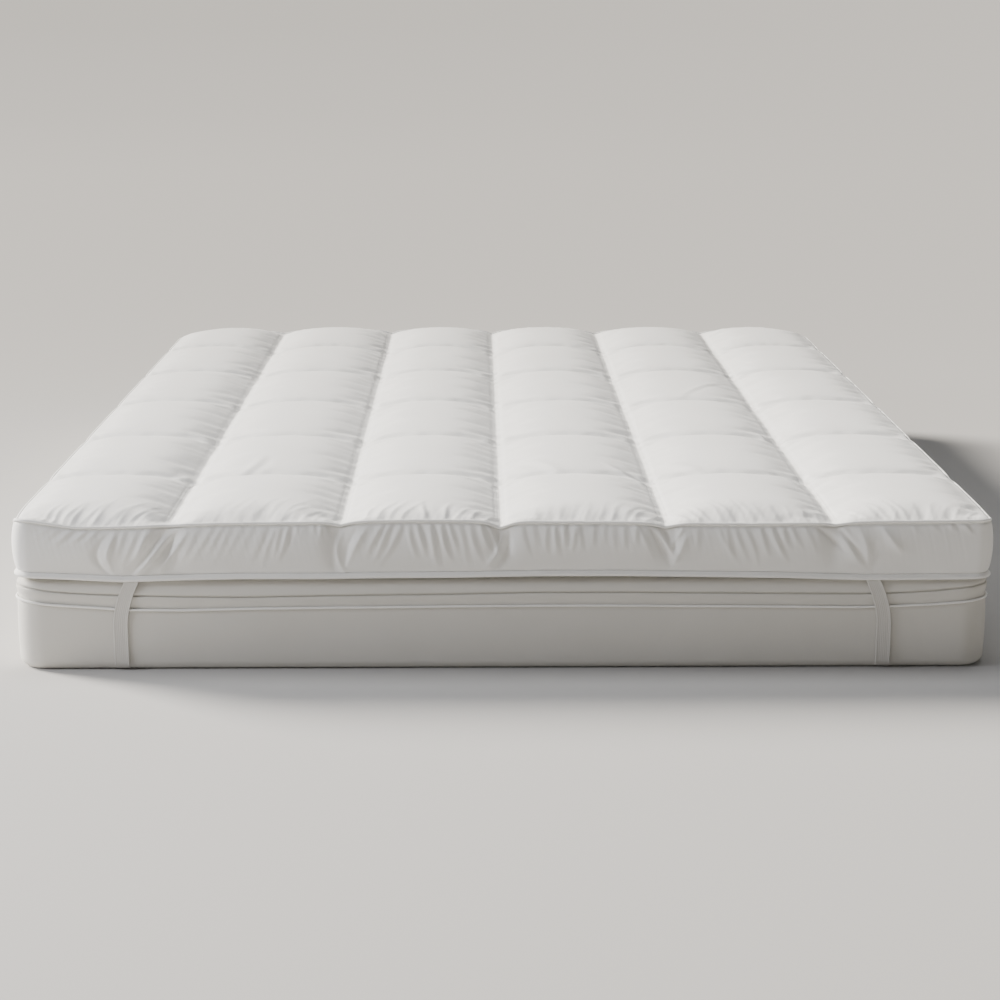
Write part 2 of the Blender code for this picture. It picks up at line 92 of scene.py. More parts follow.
def bump(distance: Array, width: float) -> Array:
    """1 at no distance, falling softly to 0 past the width."""
    return np.exp(-((distance / width) ** 2))


def crisp(distance: Array, width: float) -> Array:
    """A ridge with a sharper crest than bump."""
    return np.exp(-((np.abs(distance) / width) ** 1.35))


def ease(share: Array) -> Array:
    """0 to 1 with level ends."""
    share = np.clip(share, 0.0, 1.0)
    return share * share * (3.0 - 2.0 * share)


def tube(share: Array, power: float) -> Array:
    """Height of a filled tube at a share of its width: 0 at both seams, 1 between them."""
    return np.maximum(0.0, 4.0 * share * (1.0 - share)) ** power


def uneven(place: Array, wave: float, seed: float) -> Array:
    """A wavering line that doesn't repeat, from about -1 to 1.

    Args:
        place: Distances along the line.
        wave: The length of a typical wave, in the same unit.
        seed: Any number; another one gives another line.

    Returns:
        The line's height at each place.
    """
    total = 0.46 * np.sin(TAU * place / wave + 1.7 * seed)
    total += 0.30 * np.sin(TAU * place / (wave * 1.62) + 2.9 * seed + 0.8)
    total += 0.24 * np.sin(TAU * place / (wave * 0.71) + 4.3 * seed + 2.1)
    return total


def cell(place: Array, edges: tuple[float, ...]) -> tuple[Array, Array]:
    """The column or row that each place lies in, and its share of the way across it."""
    borders = np.array(edges)
    index = np.clip(np.searchsorted(borders, place, side="right") - 1, 0, len(edges) - 2)
    low = borders[index]
    return index, np.clip((place - low) / (borders[index + 1] - low), 0.0, 1.0)


def corner_number(x: Array, y: Array) -> Array:
    """0 and 1 for the foot's left and right quarter of the bed, 2 and 3 for the head's."""
    return np.where(x > 0.0, 1, 0) + np.where(y > 0.0, 2, 0)


def spline_weights(share: Array) -> tuple[Array, ...]:
    """Weights of the four grid lines about a place, for a smooth reading between them."""
    left = 1.0 - share
    return (
        left**3 / 6.0,
        (3.0 * share**3 - 6.0 * share**2 + 4.0) / 6.0,
        (3.0 * left**3 - 6.0 * left**2 + 4.0) / 6.0,
        share**3 / 6.0,
    )


def unit(vectors: Array) -> Array:
    """The same directions, one metre long."""
    return vectors / np.maximum(np.linalg.norm(vectors, axis=-1, keepdims=True), 1e-12)


def perimeter(half_x: float, half_y: float, radius: float, step: float) -> Array:
    """Points round a rectangle with round corners, anticlockwise from the foot's left corner.

    Args:
        half_x: Half of its width.
        half_y: Half of its length.
        radius: Of the corners.
        step: About how far apart the points lie.

    Returns:
        A row for each point: x, y and the outward direction's x and y.
    """
    rows = []
    turn_steps = max(4, round(radius * math.pi / 2 / step))
    for quarter, (sign_x, sign_y) in enumerate(((-1, -1), (1, -1), (1, 1), (-1, 1))):
        middle_x = sign_x * (half_x - radius)
        middle_y = sign_y * (half_y - radius)
        for turn in range(turn_steps):
            angle = math.pi + math.pi / 2 * (quarter + turn / turn_steps)
            out_x = math.cos(angle)
            out_y = math.sin(angle)
            rows.append((middle_x + radius * out_x, middle_y + radius * out_y, out_x, out_y))
        run = 2.0 * ((half_x if quarter % 2 == 0 else half_y) - radius)
        count = max(2, round(run / step))
        angle = math.pi + math.pi / 2 * (quarter + 1)
        out_x = round(math.cos(angle))
        out_y = round(math.sin(angle))
        start_x = middle_x + radius * out_x
        start_y = middle_y + radius * out_y
        for move in range(count):
            gone = run * move / count
            rows.append((start_x - out_y * gone, start_y + out_x * gone, out_x, out_y))
    return np.array(rows)


# ---------------------------------------------------------------- meshes
def put_in_scene(name: str, data: bpy.types.ID) -> bpy.types.Object:
    """A new object at the origin, in the scene's collection."""
    made = bpy.data.objects.new(name, data)
    bpy.context.scene.collection.objects.link(made)
    return made


def mesh_piece(name: str, points: Array, faces: list, uvs: list | None = None) -> bpy.types.Object:
    """A smooth mesh object at the origin.

    Args:
        name: The piece's name.
        points: One row of x, y, z for each point.
        faces: Point numbers of each face, anticlockwise seen from outside.
        uvs: For each face its corners' places on the cloth, in metres.

    Returns:
        The new object, in the scene's collection.
    """
    mesh = bpy.data.meshes.new(name)
    mesh.from_pydata(points.tolist(), [], faces)
    if uvs is not None:
        layer = mesh.uv_layers.new(name="cloth")
        layer.data.foreach_set("uv", np.array(uvs, np.float32).ravel())
    mesh.shade_smooth()
    mesh.update()
    return put_in_scene(name, mesh)


class Loft:
    """A surface through rows of points, to which more rows and caps are added."""

    def __init__(self) -> None:
        """Starts with nothing in it."""
        self.points: list[Array] = []
        self.faces: list[tuple[int, ...]] = []
        self.uvs: list[tuple[float, float]] = []
        self.count = 0

    def add_row(self, row: Array) -> Array:
        """Adds a row of points and returns their numbers."""
        numbers = np.arange(self.count, self.count + len(row))
        self.points.append(np.asarray(row, float))
        self.count += len(row)
        return numbers

    def skin(self, upper: Array, lower: Array, along: Array, high: float, low: float, closed: bool) -> None:
        """Joins two rows with a strip of faces.

        Args:
            upper: Point numbers of the first row.
            lower: The same of the second row.
            along: How far along the cloth each point is, with one more value for a closed row.
            high: How far across the cloth the first row is.
            low: The same for the second row.
            closed: Whether the last point joins the first.
        """
        length = len(upper)
        steps = length if closed else length - 1
        for index in range(steps):
            after = (index + 1) % length
            self.faces.append((int(upper[index]), int(lower[index]), int(lower[after]), int(upper[after])))
            left = float(along[index])
            right = float(along[index + 1])
            self.uvs += [(left, high), (left, low), (right, low), (right, high)]

    def cap(self, row: Array, centre: Array) -> None:
        """Closes a ring with a fan about a point; the ring runs anticlockwise seen from outside."""
        middle = int(self.add_row(np.array([centre]))[0])
        for index in range(len(row)):
            after = (index + 1) % len(row)
            self.faces.append((int(row[index]), int(row[after]), middle))
            self.uvs += [(0.0, 0.0), (0.01, 0.0), (0.0, 0.01)]

    def piece(self, name: str) -> bpy.types.Object:
        """Makes the mesh object."""
        return mesh_piece(name, np.vstack(self.points), self.faces, self.uvs)


def loft_rings(name: str, rings: list[Array], section_closed: bool) -> bpy.types.Object:
    """A piece through closed rings of as many points each, listed down its outer side.

    Args:
        name: The piece's name.
        rings: The rings, each anticlockwise seen from above.
        section_closed: Whether the last ring joins the first. Otherwise both ends get a cap.

    Returns:
        The closed piece.
    """
    loft = Loft()
    numbers = [loft.add_row(ring) for ring in rings]
    first = rings[0]
    along = np.concatenate(([0.0], np.cumsum(np.linalg.norm(np.roll(first, -1, axis=0) - first, axis=1))))
    across = [0.0]
    for before, after in zip(rings, rings[1:] + rings[:1]):
        across.append(across[-1] + float(np.mean(np.linalg.norm(after - before, axis=1))))
    pairs = len(rings) if section_closed else len(rings) - 1
    for index in range(pairs):
        after = (index + 1) % len(rings)
        loft.skin(numbers[index], numbers[after], along, -across[index], -across[index + 1], True)
    if not section_closed:
        loft.cap(numbers[0], rings[0].mean(axis=0))
        loft.cap(numbers[-1][::-1], rings[-1].mean(axis=0))
    return loft.piece(name)


def cord_rings(path: Array, outward: Array, section: list[tuple[float, float]]) -> list[Array]:
    """Rings of a cord round the bed.

    Args:
        path: The middle of the cord.
        outward: The outward direction at each point of the path.
        section: The cord's outline, as distances out and up, clockwise from its top.

    Returns:
        One ring for each point of the outline.
    """
    run = unit(np.roll(path, -1, axis=0) - np.roll(path, 1, axis=0))
    up = unit(np.cross(outward, run))
    return [path + outward * out + up * rise for out, rise in section]


def round_section(radius: float, sides: int) -> list[tuple[float, float]]:
    """A circle's outline for cord_rings."""
    turns = [math.pi / 2 - TAU * side / sides for side in range(sides)]
    return [(radius * math.cos(turn), radius * math.sin(turn)) for turn in turns]


# ---------------------------------------------------------------- finishes
def add_node(
    tree: bpy.types.NodeTree, kind: str, settings: dict | None = None, links: dict | None = None
) -> bpy.types.Node:
    """Adds a node with its settings and links.

    Args:
        tree: The node tree that it goes into.
        kind: The node's type name.
        settings: Values by the name of a property, or by the name or number of a socket.
        links: Sockets to link from, by the name or number of the socket to link to.

    Returns:
        The new node.
    """
    node = tree.nodes.new(kind)
    for key, value in (settings or {}).items():
        if isinstance(key, str) and hasattr(node, key):
            setattr(node, key, value)
        else:
            node.inputs[key].default_value = value
    for key, socket in (links or {}).items():
        tree.links.new(socket, node.inputs[key])
    return node


class Weave(Enum):
    """How the threads of a cloth lie."""

    PLAIN = "plain"
    DIAGONAL = "diagonal"
    RIBBED = "ribbed"
    KNITTED = "knitted"


@dataclass(frozen=True)
class ClothFinish:
    """A cloth's colours, how its threads lie, and how it takes the light."""

    process: str
    colour: str
    shaded: str  # the colour of its darker patches
    weave: Weave
    thread: float  # millimetres between threads, as drawn
    relief: float  # millimetres from a thread's crest to the gap beside it
    roughness: float
    sheen: float
    crumple: float  # millimetres of fine creasing left from washing
    crumple_size: float  # millimetres across such a crease
    sheen_roughness: float = 0.45
    gloss: float = 0.35
    patches: float = 9.0  # darker patches to about a metre

    def threads(self, tree: bpy.types.NodeTree, place: bpy.types.NodeSocket) -> bpy.types.NodeSocket:
        """Draws the threads from the cloth's own map, which is in metres.

        Args:
            tree: The material's tree.
            place: The place on the cloth.

        Returns:
            The height of the threads, from -1 to 1.
        """
        turn = math.pi / 4 if self.weave is Weave.DIAGONAL else 0.0
        turning = {"rotation_type": "Z_AXIS", "Angle": turn}
        turned = add_node(tree, "ShaderNodeVectorRotate", turning, {"Vector": place})
        parts = add_node(tree, "ShaderNodeSeparateXYZ", {}, {0: turned.outputs[0]})
        across_ratio = {Weave.RIBBED: 2.6, Weave.KNITTED: 0.62}.get(self.weave, 1.0)
        waves = []
        for output, ratio in (("X", 1.0), ("Y", across_ratio)):
            rate = TAU / (self.thread * MM * ratio)
            scaling = {"operation": "MULTIPLY", 1: rate}
            angle = add_node(tree, "ShaderNodeMath", scaling, {0: parts.outputs[output]})
            waves.append(add_node(tree, "ShaderNodeMath", {"operation": "SINE"}, {0: angle.outputs[0]}))
        join = "ADD" if self.weave is Weave.RIBBED else "MULTIPLY"
        both = {0: waves[0].outputs[0], 1: waves[1].outputs[0]}
        return add_node(tree, "ShaderNodeMath", {"operation": join}, both).outputs[0]

    def material(self) -> bpy.types.Material:
        """Makes the material.

        Returns:
            A material named for how the cloth is made.
        """
        made = bpy.data.materials.new(self.process)
        made.use_nodes = True
        tree = made.node_tree
        shader = tree.nodes["Principled BSDF"]
        for name, value in (
            ("Roughness", self.roughness),
            ("Sheen Weight", self.sheen),
            ("Sheen Roughness", self.sheen_roughness),
            ("Specular IOR Level", self.gloss),
        ):
            shader.inputs[name].default_value = value
        place = add_node(tree, "ShaderNodeUVMap", {"uv_map": "cloth"}).outputs["UV"]
        where = {"Vector": add_node(tree, "ShaderNodeTexCoord").outputs["Object"]}
        spread = {"Scale": self.patches, "Detail": 3.0, "Roughness": 0.5}
        patches = add_node(tree, "ShaderNodeTexNoise", spread, where)
        colours = {"data_type": "RGBA", 6: hex_colour(self.colour), 7: hex_colour(self.shaded)}
        tone = add_node(tree, "ShaderNodeMix", colours, {0: patches.outputs["Fac"]})
        tree.links.new(tone.outputs[2], shader.inputs["Base Color"])
        scale = 1.0 / (self.crumple_size * MM)
        spread = {"Scale": scale, "Detail": 4.0, "Roughness": 0.55, "Distortion": 0.6}
        folds = add_node(tree, "ShaderNodeTexNoise", spread, where)
        depth = {"Strength": 1.0, "Distance": self.crumple * MM}
        crumpled = add_node(tree, "ShaderNodeBump", depth, {"Height": folds.outputs["Fac"]})
        depth = {"Strength": 1.0, "Distance": self.relief * MM}
        above = {"Height": self.threads(tree, place), "Normal": crumpled.outputs[0]}
        woven = add_node(tree, "ShaderNodeBump", depth, above)
        tree.links.new(woven.outputs[0], shader.inputs["Normal"])
        return made


# White cotton percale: a plain weave of fine combed thread, washed, dull with a faint sheen on
# its crests. Its threads lie 0.2 mm apart and are drawn four times as coarse.
COVER = ClothFinish(
    "cotton_percale_woven", "#F3F2EF", "#EDECE8", Weave.PLAIN,
    thread=0.8, relief=0.03, roughness=0.82, sheen=0.12, crumple=0.10, crumple_size=9.0,
)
# The same cotton cut on the bias and sewn round a cord, so that its threads run diagonally. Its colour is
# painted a little lighter than the cover's: a painted highlight for the light that the cords catch from
# above.
PIPING = ClothFinish(
    "cotton_bias_piping_painted_highlight", "#FAF9F6", "#F4F3EF", Weave.DIAGONAL,
    thread=0.9, relief=0.05, roughness=0.80, sheen=0.10, crumple=0.05, crumple_size=6.0,
)
# Polyester elastic woven on rubber warps: fine ribs along it and a dull, slightly greyer white.
ELASTIC = ClothFinish(
    "elastic_woven", "#DEDBD5", "#D6D3CC", Weave.RIBBED,
    thread=1.1, relief=0.10, roughness=0.70, sheen=0.05, crumple=0.05, crumple_size=12.0,
)
# Circular-knitted polyester ticking, stretched over foam: smooth, matt and a little warmer. It is greyer
# than the cover, partly its own tone and partly painted shade for the mattress's side under the topper's
# overhang.
TICKING = ClothFinish(
    "ticking_knitted", "#DEDBD4", "#D7D4CC", Weave.KNITTED,
    thread=1.6, relief=0.06, roughness=0.88, sheen=0.06, crumple=0.10, crumple_size=22.0,
)
# Woven polyester tape, sewn round the border.
TAPE = ClothFinish(
    "tape_twill_woven", "#E0DDD6", "#D9D6CE", Weave.DIAGONAL,
    thread=1.2, relief=0.08, roughness=0.78, sheen=0.05, crumple=0.06, crumple_size=14.0,
)
# Spun polyester sewing thread, whiter and glossier than the cloth that it sinks into.
THREAD = ClothFinish(
    "polyester_thread_spun", "#F1F0EC", "#E9E7E2", Weave.DIAGONAL,
    thread=0.4, relief=0.05, roughness=0.60, sheen=0.10, crumple=0.02, crumple_size=2.0,
)


class Finishes:
    """Every finish as a material, made once."""

    def __init__(self) -> None:
        """Makes the materials."""
        self.cover = COVER.material()
        self.piping = PIPING.material()
        self.elastic = ELASTIC.material()
        self.ticking = TICKING.material()
        self.tape = TAPE.material()
        self.thread = THREAD.material()


def dress(piece: bpy.types.Object, material: bpy.types.Material, slot: str, *nodes: str) -> bpy.types.Object:
    """Gives a finished piece its material and its body, and hides the solids that it stands for.

    Args:
        piece: A mesh object at the origin.
        material: Its finish.
        slot: Not used.
        *nodes: Names of the solids that it replaces.

    Returns:
        The same piece.
    """
    piece.data.materials.clear()
    piece.data.materials.append(material)
    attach(piece, BODY)
    if nodes:
        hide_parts(*nodes)
    log.info("%s: %d points", piece.name, len(piece.data.vertices))
    return piece


# ---------------------------------------------------------------- the quilted topper
@dataclass(frozen=True)
class FoldFan:
    """A group of gathers side by side, in millimetres.

    On the side band, reach holds the shares of its height where they begin and end. On the top, a
    gather starts at the piping and reach is how far in it begins and ends.
    """

    first: float  # place across the bed of the first gather, at the top piping
    last: float
    count: int
    lean_first: float  # how far the gather's far end lies to the right of its near end
    lean_last: float
    height: float
    half: float  # half-width of a gather
    reach: tuple[float, float]
    seed: float

    def gather(self, number: int) -> tuple[float, float]:
        """Where a gather of the group begins across the bed, and how far it leans."""
        part = number / max(1, self.count - 1)
        lean = self.lean_first + (self.lean_last - self.lean_first) * part
        return self.first + (self.last - self.first) * part, lean


def fans(first_seed: int, *rows: tuple) -> tuple[FoldFan, ...]:
    """Groups of gathers, each with a seed of its own."""
    return tuple(FoldFan(*row, float(first_seed + number)) for number, row in enumerate(rows))


# Gathers of the top panel behind the foot's piping.
TOP_FANS = fans(
    1,
    (-722, -570, 10, 22, 46, 0.95, 5.0, (0, 76)),
    (-640, -580, 3, 40, 60, 0.45, 4.6, (0, 108)),
    (-452, -352, 6, 36, 46, 0.45, 4.4, (0, 112)),
    (-346, -280, 5, 40, 20, 0.85, 4.6, (0, 68)),
    (-214, -162, 4, 24, 42, 1.05, 5.2, (0, 82)),
    (-122, -94, 2, -6, 8, 1.20, 4.8, (0, 66)),
    (-78, -30, 3, 26, 22, 1.05, 4.8, (0, 60)),
    (48, 150, 6, 6, 12, 0.55, 4.6, (0, 68)),
    (166, 226, 4, 28, 34, 0.80, 4.8, (0, 76)),
    (292, 392, 7, -56, -30, 0.62, 4.2, (0, 100)),
    (408, 492, 5, -16, -6, 0.45, 4.4, (0, 62)),
    (552, 632, 6, -46, -20, 0.75, 4.8, (0, 88)),
    (646, 726, 5, 0, 36, 1.00, 5.2, (0, 64)),
)

# Single creases of the top panel. Each row is one crease: the places of its two ends across and
# along the bed, how far its middle bows to the left, seen from its first end, its height and its
# half-width, all in millimetres. A trough lies along its right side.
TOP_CREASES = (
    (-458, -734, -412, -586, -12, 1.7, 8),
    (-518, -680, -554, -695, 0, 2.2, 10),
    (37, -596, 100, -700, 8, 1.5, 11),
    (240, -760, 171, -633, -9, 2.0, 9),
    (262, -598, 346, -703, 9, 1.5, 12),
    (498, -787, 440, -670, -9, 2.0, 9),
    (367, -1, 482, 205, 5, 1.1, 7),
    (493, -399, 475, -309, -6, 1.6, 8),
)

# Gathers of the side band below the foot's piping.
SIDE_FANS = fans(
    21,
    (-700, -628, 5, -104, -66, 1.7, 6.0, (0.00, 0.46)),
    (-598, -552, 4, -32, -30, 2.6, 5.0, (0.02, 0.98)),
    (-538, -512, 2, -56, -66, 1.8, 4.8, (0.00, 0.90)),
    (-468, -372, 7, -46, -36, 1.2, 5.2, (0.00, 0.90)),
    (-366, -330, 4, -32, -24, 2.2, 4.4, (0.00, 0.96)),
    (-322, -276, 6, -8, 6, 1.6, 3.4, (0.00, 0.34)),
    (-190, -154, 3, -38, -42, 2.4, 5.2, (0.00, 0.97)),
    (-148, -22, 9, 16, 26, 2.9, 4.8, (0.00, 0.94)),
    (30, 112, 6, 14, -4, 2.3, 4.8, (0.00, 0.74)),
    (122, 204, 6, -4, 8, 1.7, 4.3, (0.00, 0.62)),
    (208, 238, 2, 36, 44, 1.5, 4.8, (0.00, 0.80)),
    (298, 330, 2, 4, 40, 1.8, 5.0, (0.00, 0.90)),
    (340, 412, 5, 26, 34, 2.5, 4.7, (0.00, 0.95)),
    (430, 466, 3, 28, 40, 1.9, 4.7, (0.00, 0.62)),
    (508, 528, 2, 60, 50, 1.5, 5.0, (0.00, 0.60)),
    (638, 716, 4, 46, 70, 1.7, 5.2, (0.00, 0.26)),
)

# The pulled folds of the side at the foot. Each row is one fold: place across the bed at its top
# and at its bottom, how far its middle bows to the right, how far it stands out, how wide it is
# each way, all in millimetres, and the shares of the side's height that it spans.
END_FOLDS = (
    (-601, -612, -25, -4.5, 5, 0.08, 1.00),
    (-592, -606, -14, 2.5, 5, 0.10, 0.98),
    (-518, -584, 0, -5.5, 7, 0.06, 1.00),
    (-504, -574, 0, 7.5, 5, 0.02, 1.00),
    (-495, -560, 0, -6.0, 6, 0.06, 0.98),
    (-483, -540, 0, 6.5, 4, 0.10, 0.96),
    (-266, -262, -3, -4.0, 9, 0.08, 0.98),
    (-243, -247, -13, 4.5, 5, 0.03, 1.00),
    (-224, -246, -6, -4.5, 6, 0.06, 0.96),
    (-206, -248, -6, 5.0, 6, 0.02, 0.99),
    (-2, -30, 8, 6.5, 5, 0.03, 0.92),
    (12, -16, 8, -7.0, 6, 0.06, 0.97),
    (226, 266, 2, -5.0, 5, 0.03, 0.93),
    (238, 276, 2, 4.0, 5, 0.03, 0.70),
    (281, 236, 0, 4.5, 5, 0.00, 0.46),
    (290, 262, 0, 5.0, 6, 0.16, 0.82),
    (268, 268, 0, -4.5, 5, 0.04, 0.60),
    (485, 580, 0, -4.5, 6, 0.00, 0.54),
    (513, 571, 0, 4.5, 6, 0.02, 0.84),
    (522, 580, 0, -5.5, 5, 0.03, 0.90),
    (550, 568, 8, 4.5, 7, 0.03, 0.86),
    (570, 578, 4, -4.0, 6, 0.30, 0.96),
    (584, 650, 0, 6.5, 8, 0.00, 0.58),
)

# Heights in millimetres that the foot's hems waver by, at places across the bed in millimetres:
# the topper's lower edge, the crease under the mattress's lip, and the mattress's piping.
FOOT_WAVES = (
    (-757, 6.0, 11.0, 12.0),
    (-730, 4.6, 9.0, 9.4),
    (-712, 3.8, 5.6, 6.8),
    (-675, 2.2, 2.2, 4.0),
    (-640, 0.4, 0.4, 1.8),
    (-590, -2.0, -1.6, -2.0),
    (-500, 0.8, -4.0, -2.9),
    (-410, 2.5, -5.0, -0.8),
    (-284, 2.2, -3.0, 0.5),
    (-190, 3.5, -1.8, 1.2),
    (-79, 3.9, -0.6, 2.2),
    (60, 6.0, 1.8, 3.0),
    (190, 5.8, 1.7, 2.7),
    (311, 4.1, 0.3, 1.6),
    (440, 2.0, -0.8, 0.4),
    (560, -1.8, -1.8, -0.8),
    (628, -1.8, 0.0, 1.4),
    (675, -1.4, 2.8, 3.4),
    (712, -1.2, 6.4, 6.2),
    (752, -0.4, 10.5, 10.0),
)

# Places over which the form is averaged to soften a seam, as shares of its reach.
SOFT_SHARES = (-1.0, -0.4, 0.0, 0.4, 1.0)

# How the pressed cloth behaves: a firm cotton, cut a little larger than its form and sewn down.
CLOTH = {
    "quality": 6,
    "mass": 0.25,
    "tension_stiffness": 14.0,
    "compression_stiffness": 14.0,
    "shear_stiffness": 5.0,
    "bending_stiffness": 0.25,
    "use_pressure": True,
    "uniform_pressure_force": 4.0,
    "shrink_min": -0.014,
    "vertex_group_mass": "sewn",
}


@dataclass
class QuiltForm:
    """The form of the topper: where its seams run, and how its filling stands between them."""

    seams_across: tuple[float, ...] = (-0.520, -0.253, -0.004, 0.253, 0.516)
    seams_along: tuple[float, ...] = (-0.702, -0.366, -0.010, 0.352, 0.702)
    corner: float = 0.022
    side: float = 0.092
    crown: float = 0.0145  # before the cloth is pressed out
    valley: float = 0.012
    crossing: float = 0.003
    cross_dip: float = 0.68
    end_roll: float = 0.090
    roll_power: float = 2.5
    soft_x: float = 0.008  # how far a lengthwise seam's trough is softened to each side
    soft_y: float = 0.013
    bulge: float = 0.0087
    pinch: float = 0.75
    pinch_width: float = 0.018
    draw_in: float = 0.003
    bottom_in: float = 0.0008
    bottom_piping_out: float = 0.0040
    piping: float = 0.0022
    piping_out: float = 0.0026
    lifts_foot: tuple[float, ...] = (-7.0, -0.5, 3.0, -0.2, -4.0, -0.3)
    dips_foot: tuple[float, ...] = (1.0, 6.0, 11.0, 7.0, 4.5)
    lifts_head: tuple[float, ...] = (-3.0, 0.5, 1.5, 0.0, -1.5, -2.0)
    dips_head: tuple[float, ...] = (5.0, 7.0, 8.0, 7.0, 5.0)
    dip_width: float = 0.020
    side_dip: float = 0.0015
    side_dip_width: float = 0.034
    corner_lifts: tuple[float, ...] = (12.0, 1.0, -12.0, -12.0)  # foot left and right, head left and right
    corner_reach: float = 0.115  # how far across the bed a corner's lift reaches
    corner_depths: tuple[float, ...] = (0.030, 0.115)  # the same along it, at the foot and at the head
    corner_pulls: tuple[float, ...] = (4.5, 2.0, 2.0, 2.0)  # how far each corner is drawn in
    pull_reach: float = 0.120

    def __post_init__(self) -> None:
        """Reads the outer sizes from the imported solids."""
        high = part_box("topper_piping_top")[1]
        self.half_x = high.x - self.piping - self.piping_out
        self.half_y = high.y - self.piping - self.piping_out
        self.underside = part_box("topper_pad")[0].z
        self.level = self.underside + self.side
        self.columns = (-self.half_x, *self.seams_across, self.half_x)
        self.rows = (-self.half_y, *self.seams_along, self.half_y)

    def end_lift(self, x: Array, lifts: tuple[float, ...], dips: tuple[float, ...]) -> Array:
        """Height of the top piping along the foot or the head."""
        column, across = cell(x, self.columns)
        place = column + across - 0.5
        left = np.clip(np.floor(place).astype(int), 0, len(lifts) - 1)
        right = np.minimum(len(lifts) - 1, left + 1)
        values = np.array(lifts)
        lift = values[left] + (values[right] - values[left]) * ease(place - left)
        for seam, dip in zip(self.seams_across, dips):
            near = np.abs(x - seam)
            sharp = np.exp(-near / (0.7 * self.dip_width))
            lift = lift - dip * (0.6 * bump(near, self.dip_width) + 0.4 * sharp)
        return lift * MM

    def side_lift(self, y: Array) -> Array:
        """Height of the top piping along a side, where the cross seams end."""
        return -sum(self.side_dip * bump(y - seam, self.side_dip_width) for seam in self.seams_along)

    def corner_lift(self, x: Array, y: Array) -> Array:
        """How far the topper rises or falls towards a corner."""
        depth = np.where(y > 0.0, self.corner_depths[1], self.corner_depths[0])
        a = np.maximum(0.0, (np.abs(x) - self.half_x + self.corner_reach) / self.corner_reach)
        b = np.maximum(0.0, (np.abs(y) - self.half_y + depth) / depth)
        return np.array(self.corner_lifts)[corner_number(x, y)] * MM * ease(a) * ease(b)

    def cell_crown(self, column: Array, row: Array) -> Array:
        """Height of a cell's middle; no two cells are filled quite alike."""
        wave = 0.6 * np.sin(2.1 * column + 1.3 * row) + 0.4 * np.sin(4.7 * column - 2.9 * row)
        return self.crown * (1.0 + 0.07 * wave)

    def cushion(self, x: Array, y: Array) -> Array:
        """Height of the cells between their seams, above the level of the top piping."""
        column, across = cell(x, self.columns)
        row, along = cell(y, self.rows)
        last = len(self.seams_along)
        at_end = ((row == 0) & (along < 0.5)) | ((row == last) & (along > 0.5))
        filled = np.where(at_end, 1.0, tube(along, 0.5))
        crest = self.cell_crown(column, row) * (1.0 - self.cross_dip * (1.0 - filled))
        seam = -self.valley - self.crossing * (1.0 - filled)
        lift = self.side_lift(y)
        seam = np.where(column == 0, lift + (seam - lift) * across, seam)
        seam = np.where(column == len(self.seams_across), lift + (seam - lift) * (1.0 - across), seam)
        return seam + (crest - seam) * tube(across, 0.55)

    def height(self, x: Array, y: Array) -> Array:
        """Height of the quilted top, whose seams the filling has softened into troughs."""
        near_x = np.clip((self.half_x - np.abs(x)) / 2.0, 0.0, self.soft_x)
        near_y = np.clip((self.half_y - np.abs(y)) / 2.0, 0.0, self.soft_y)
        inner = np.zeros_like(x)
        for share_x in SOFT_SHARES:
            for share_y in SOFT_SHARES:
                inner += self.cushion(x + share_x * near_x, y + share_y * near_y) / len(SOFT_SHARES) ** 2
        from_end = self.half_y - np.abs(y)
        roll = 1.0 - (1.0 - np.clip(from_end / self.end_roll, 0.0, 1.0)) ** self.roll_power
        rim = np.where(
            y < 0.0,
            self.end_lift(x, self.lifts_foot, self.dips_foot),
            self.end_lift(x, self.lifts_head, self.dips_head),
        )
        return rim + (inner - rim) * roll + self.corner_lift(x, y)

    def plan(self, x: Array, y: Array) -> tuple[Array, Array, Array]:
        """Moves points of a rectangle so that each corner's block fills a quarter of a disc.

        Args:
            x: Places across the rectangle.
            y: Places along it.

        Returns:
            The moved x and y, and the outward directions, which are unit vectors on the rim.
        """
        a = np.maximum(0.0, (np.abs(x) - self.half_x + self.corner) / self.corner)
        b = np.maximum(0.0, (np.abs(y) - self.half_y + self.corner) / self.corner)
        disc_a = a * np.sqrt(1.0 - b * b / 2.0)
        disc_b = b * np.sqrt(1.0 - a * a / 2.0)
        side_x = np.where(x < 0.0, -1.0, 1.0)
        side_y = np.where(y < 0.0, -1.0, 1.0)
        moved_x = np.where(a > 0.0, side_x * (self.half_x - self.corner + self.corner * disc_a), x)
        moved_y = np.where(b > 0.0, side_y * (self.half_y - self.corner + self.corner * disc_b), y)
        near = ease(1.0 - (self.half_x - np.abs(x)) / self.pull_reach)
        near *= ease(1.0 - (self.half_y - np.abs(y)) / self.pull_reach)
        pull = np.array(self.corner_pulls)[corner_number(x, y)]
        moved_x = moved_x - side_x * pull * MM * near
        outward = np.stack([side_x * disc_a, side_y * disc_b, np.zeros_like(x)], axis=-1)
        return moved_x, moved_y, outward

    def seam_end(self, x: Array, y: Array) -> Array:
        """How near a point of the rim is to the end of a quilting seam, from 0 to 1."""
        at_end = self.half_y - np.abs(y) < self.half_x - np.abs(x)
        ends = np.max([bump(x - seam, self.pinch_width) for seam in self.seams_across], axis=0)
        sides = 0.5 * np.max([bump(y - seam, self.pinch_width) for seam in self.seams_along], axis=0)
        return np.where(at_end, ends, sides)

    def rim(self, x: Array, y: Array) -> tuple[Array, Array, Array]:
        """The top seam at places on the rectangle's edge.

        Args:
            x: Places across.
            y: Places along.

        Returns:
            Points, outward directions and nearness to a seam's end.
        """
        flat_x, flat_y, outward = self.plan(x, y)
        near = self.seam_end(x, y)
        points = np.stack([flat_x, flat_y, self.level + self.height(x, y)], axis=-1)
        return points - outward * (self.draw_in * near)[..., None], unit(outward), near


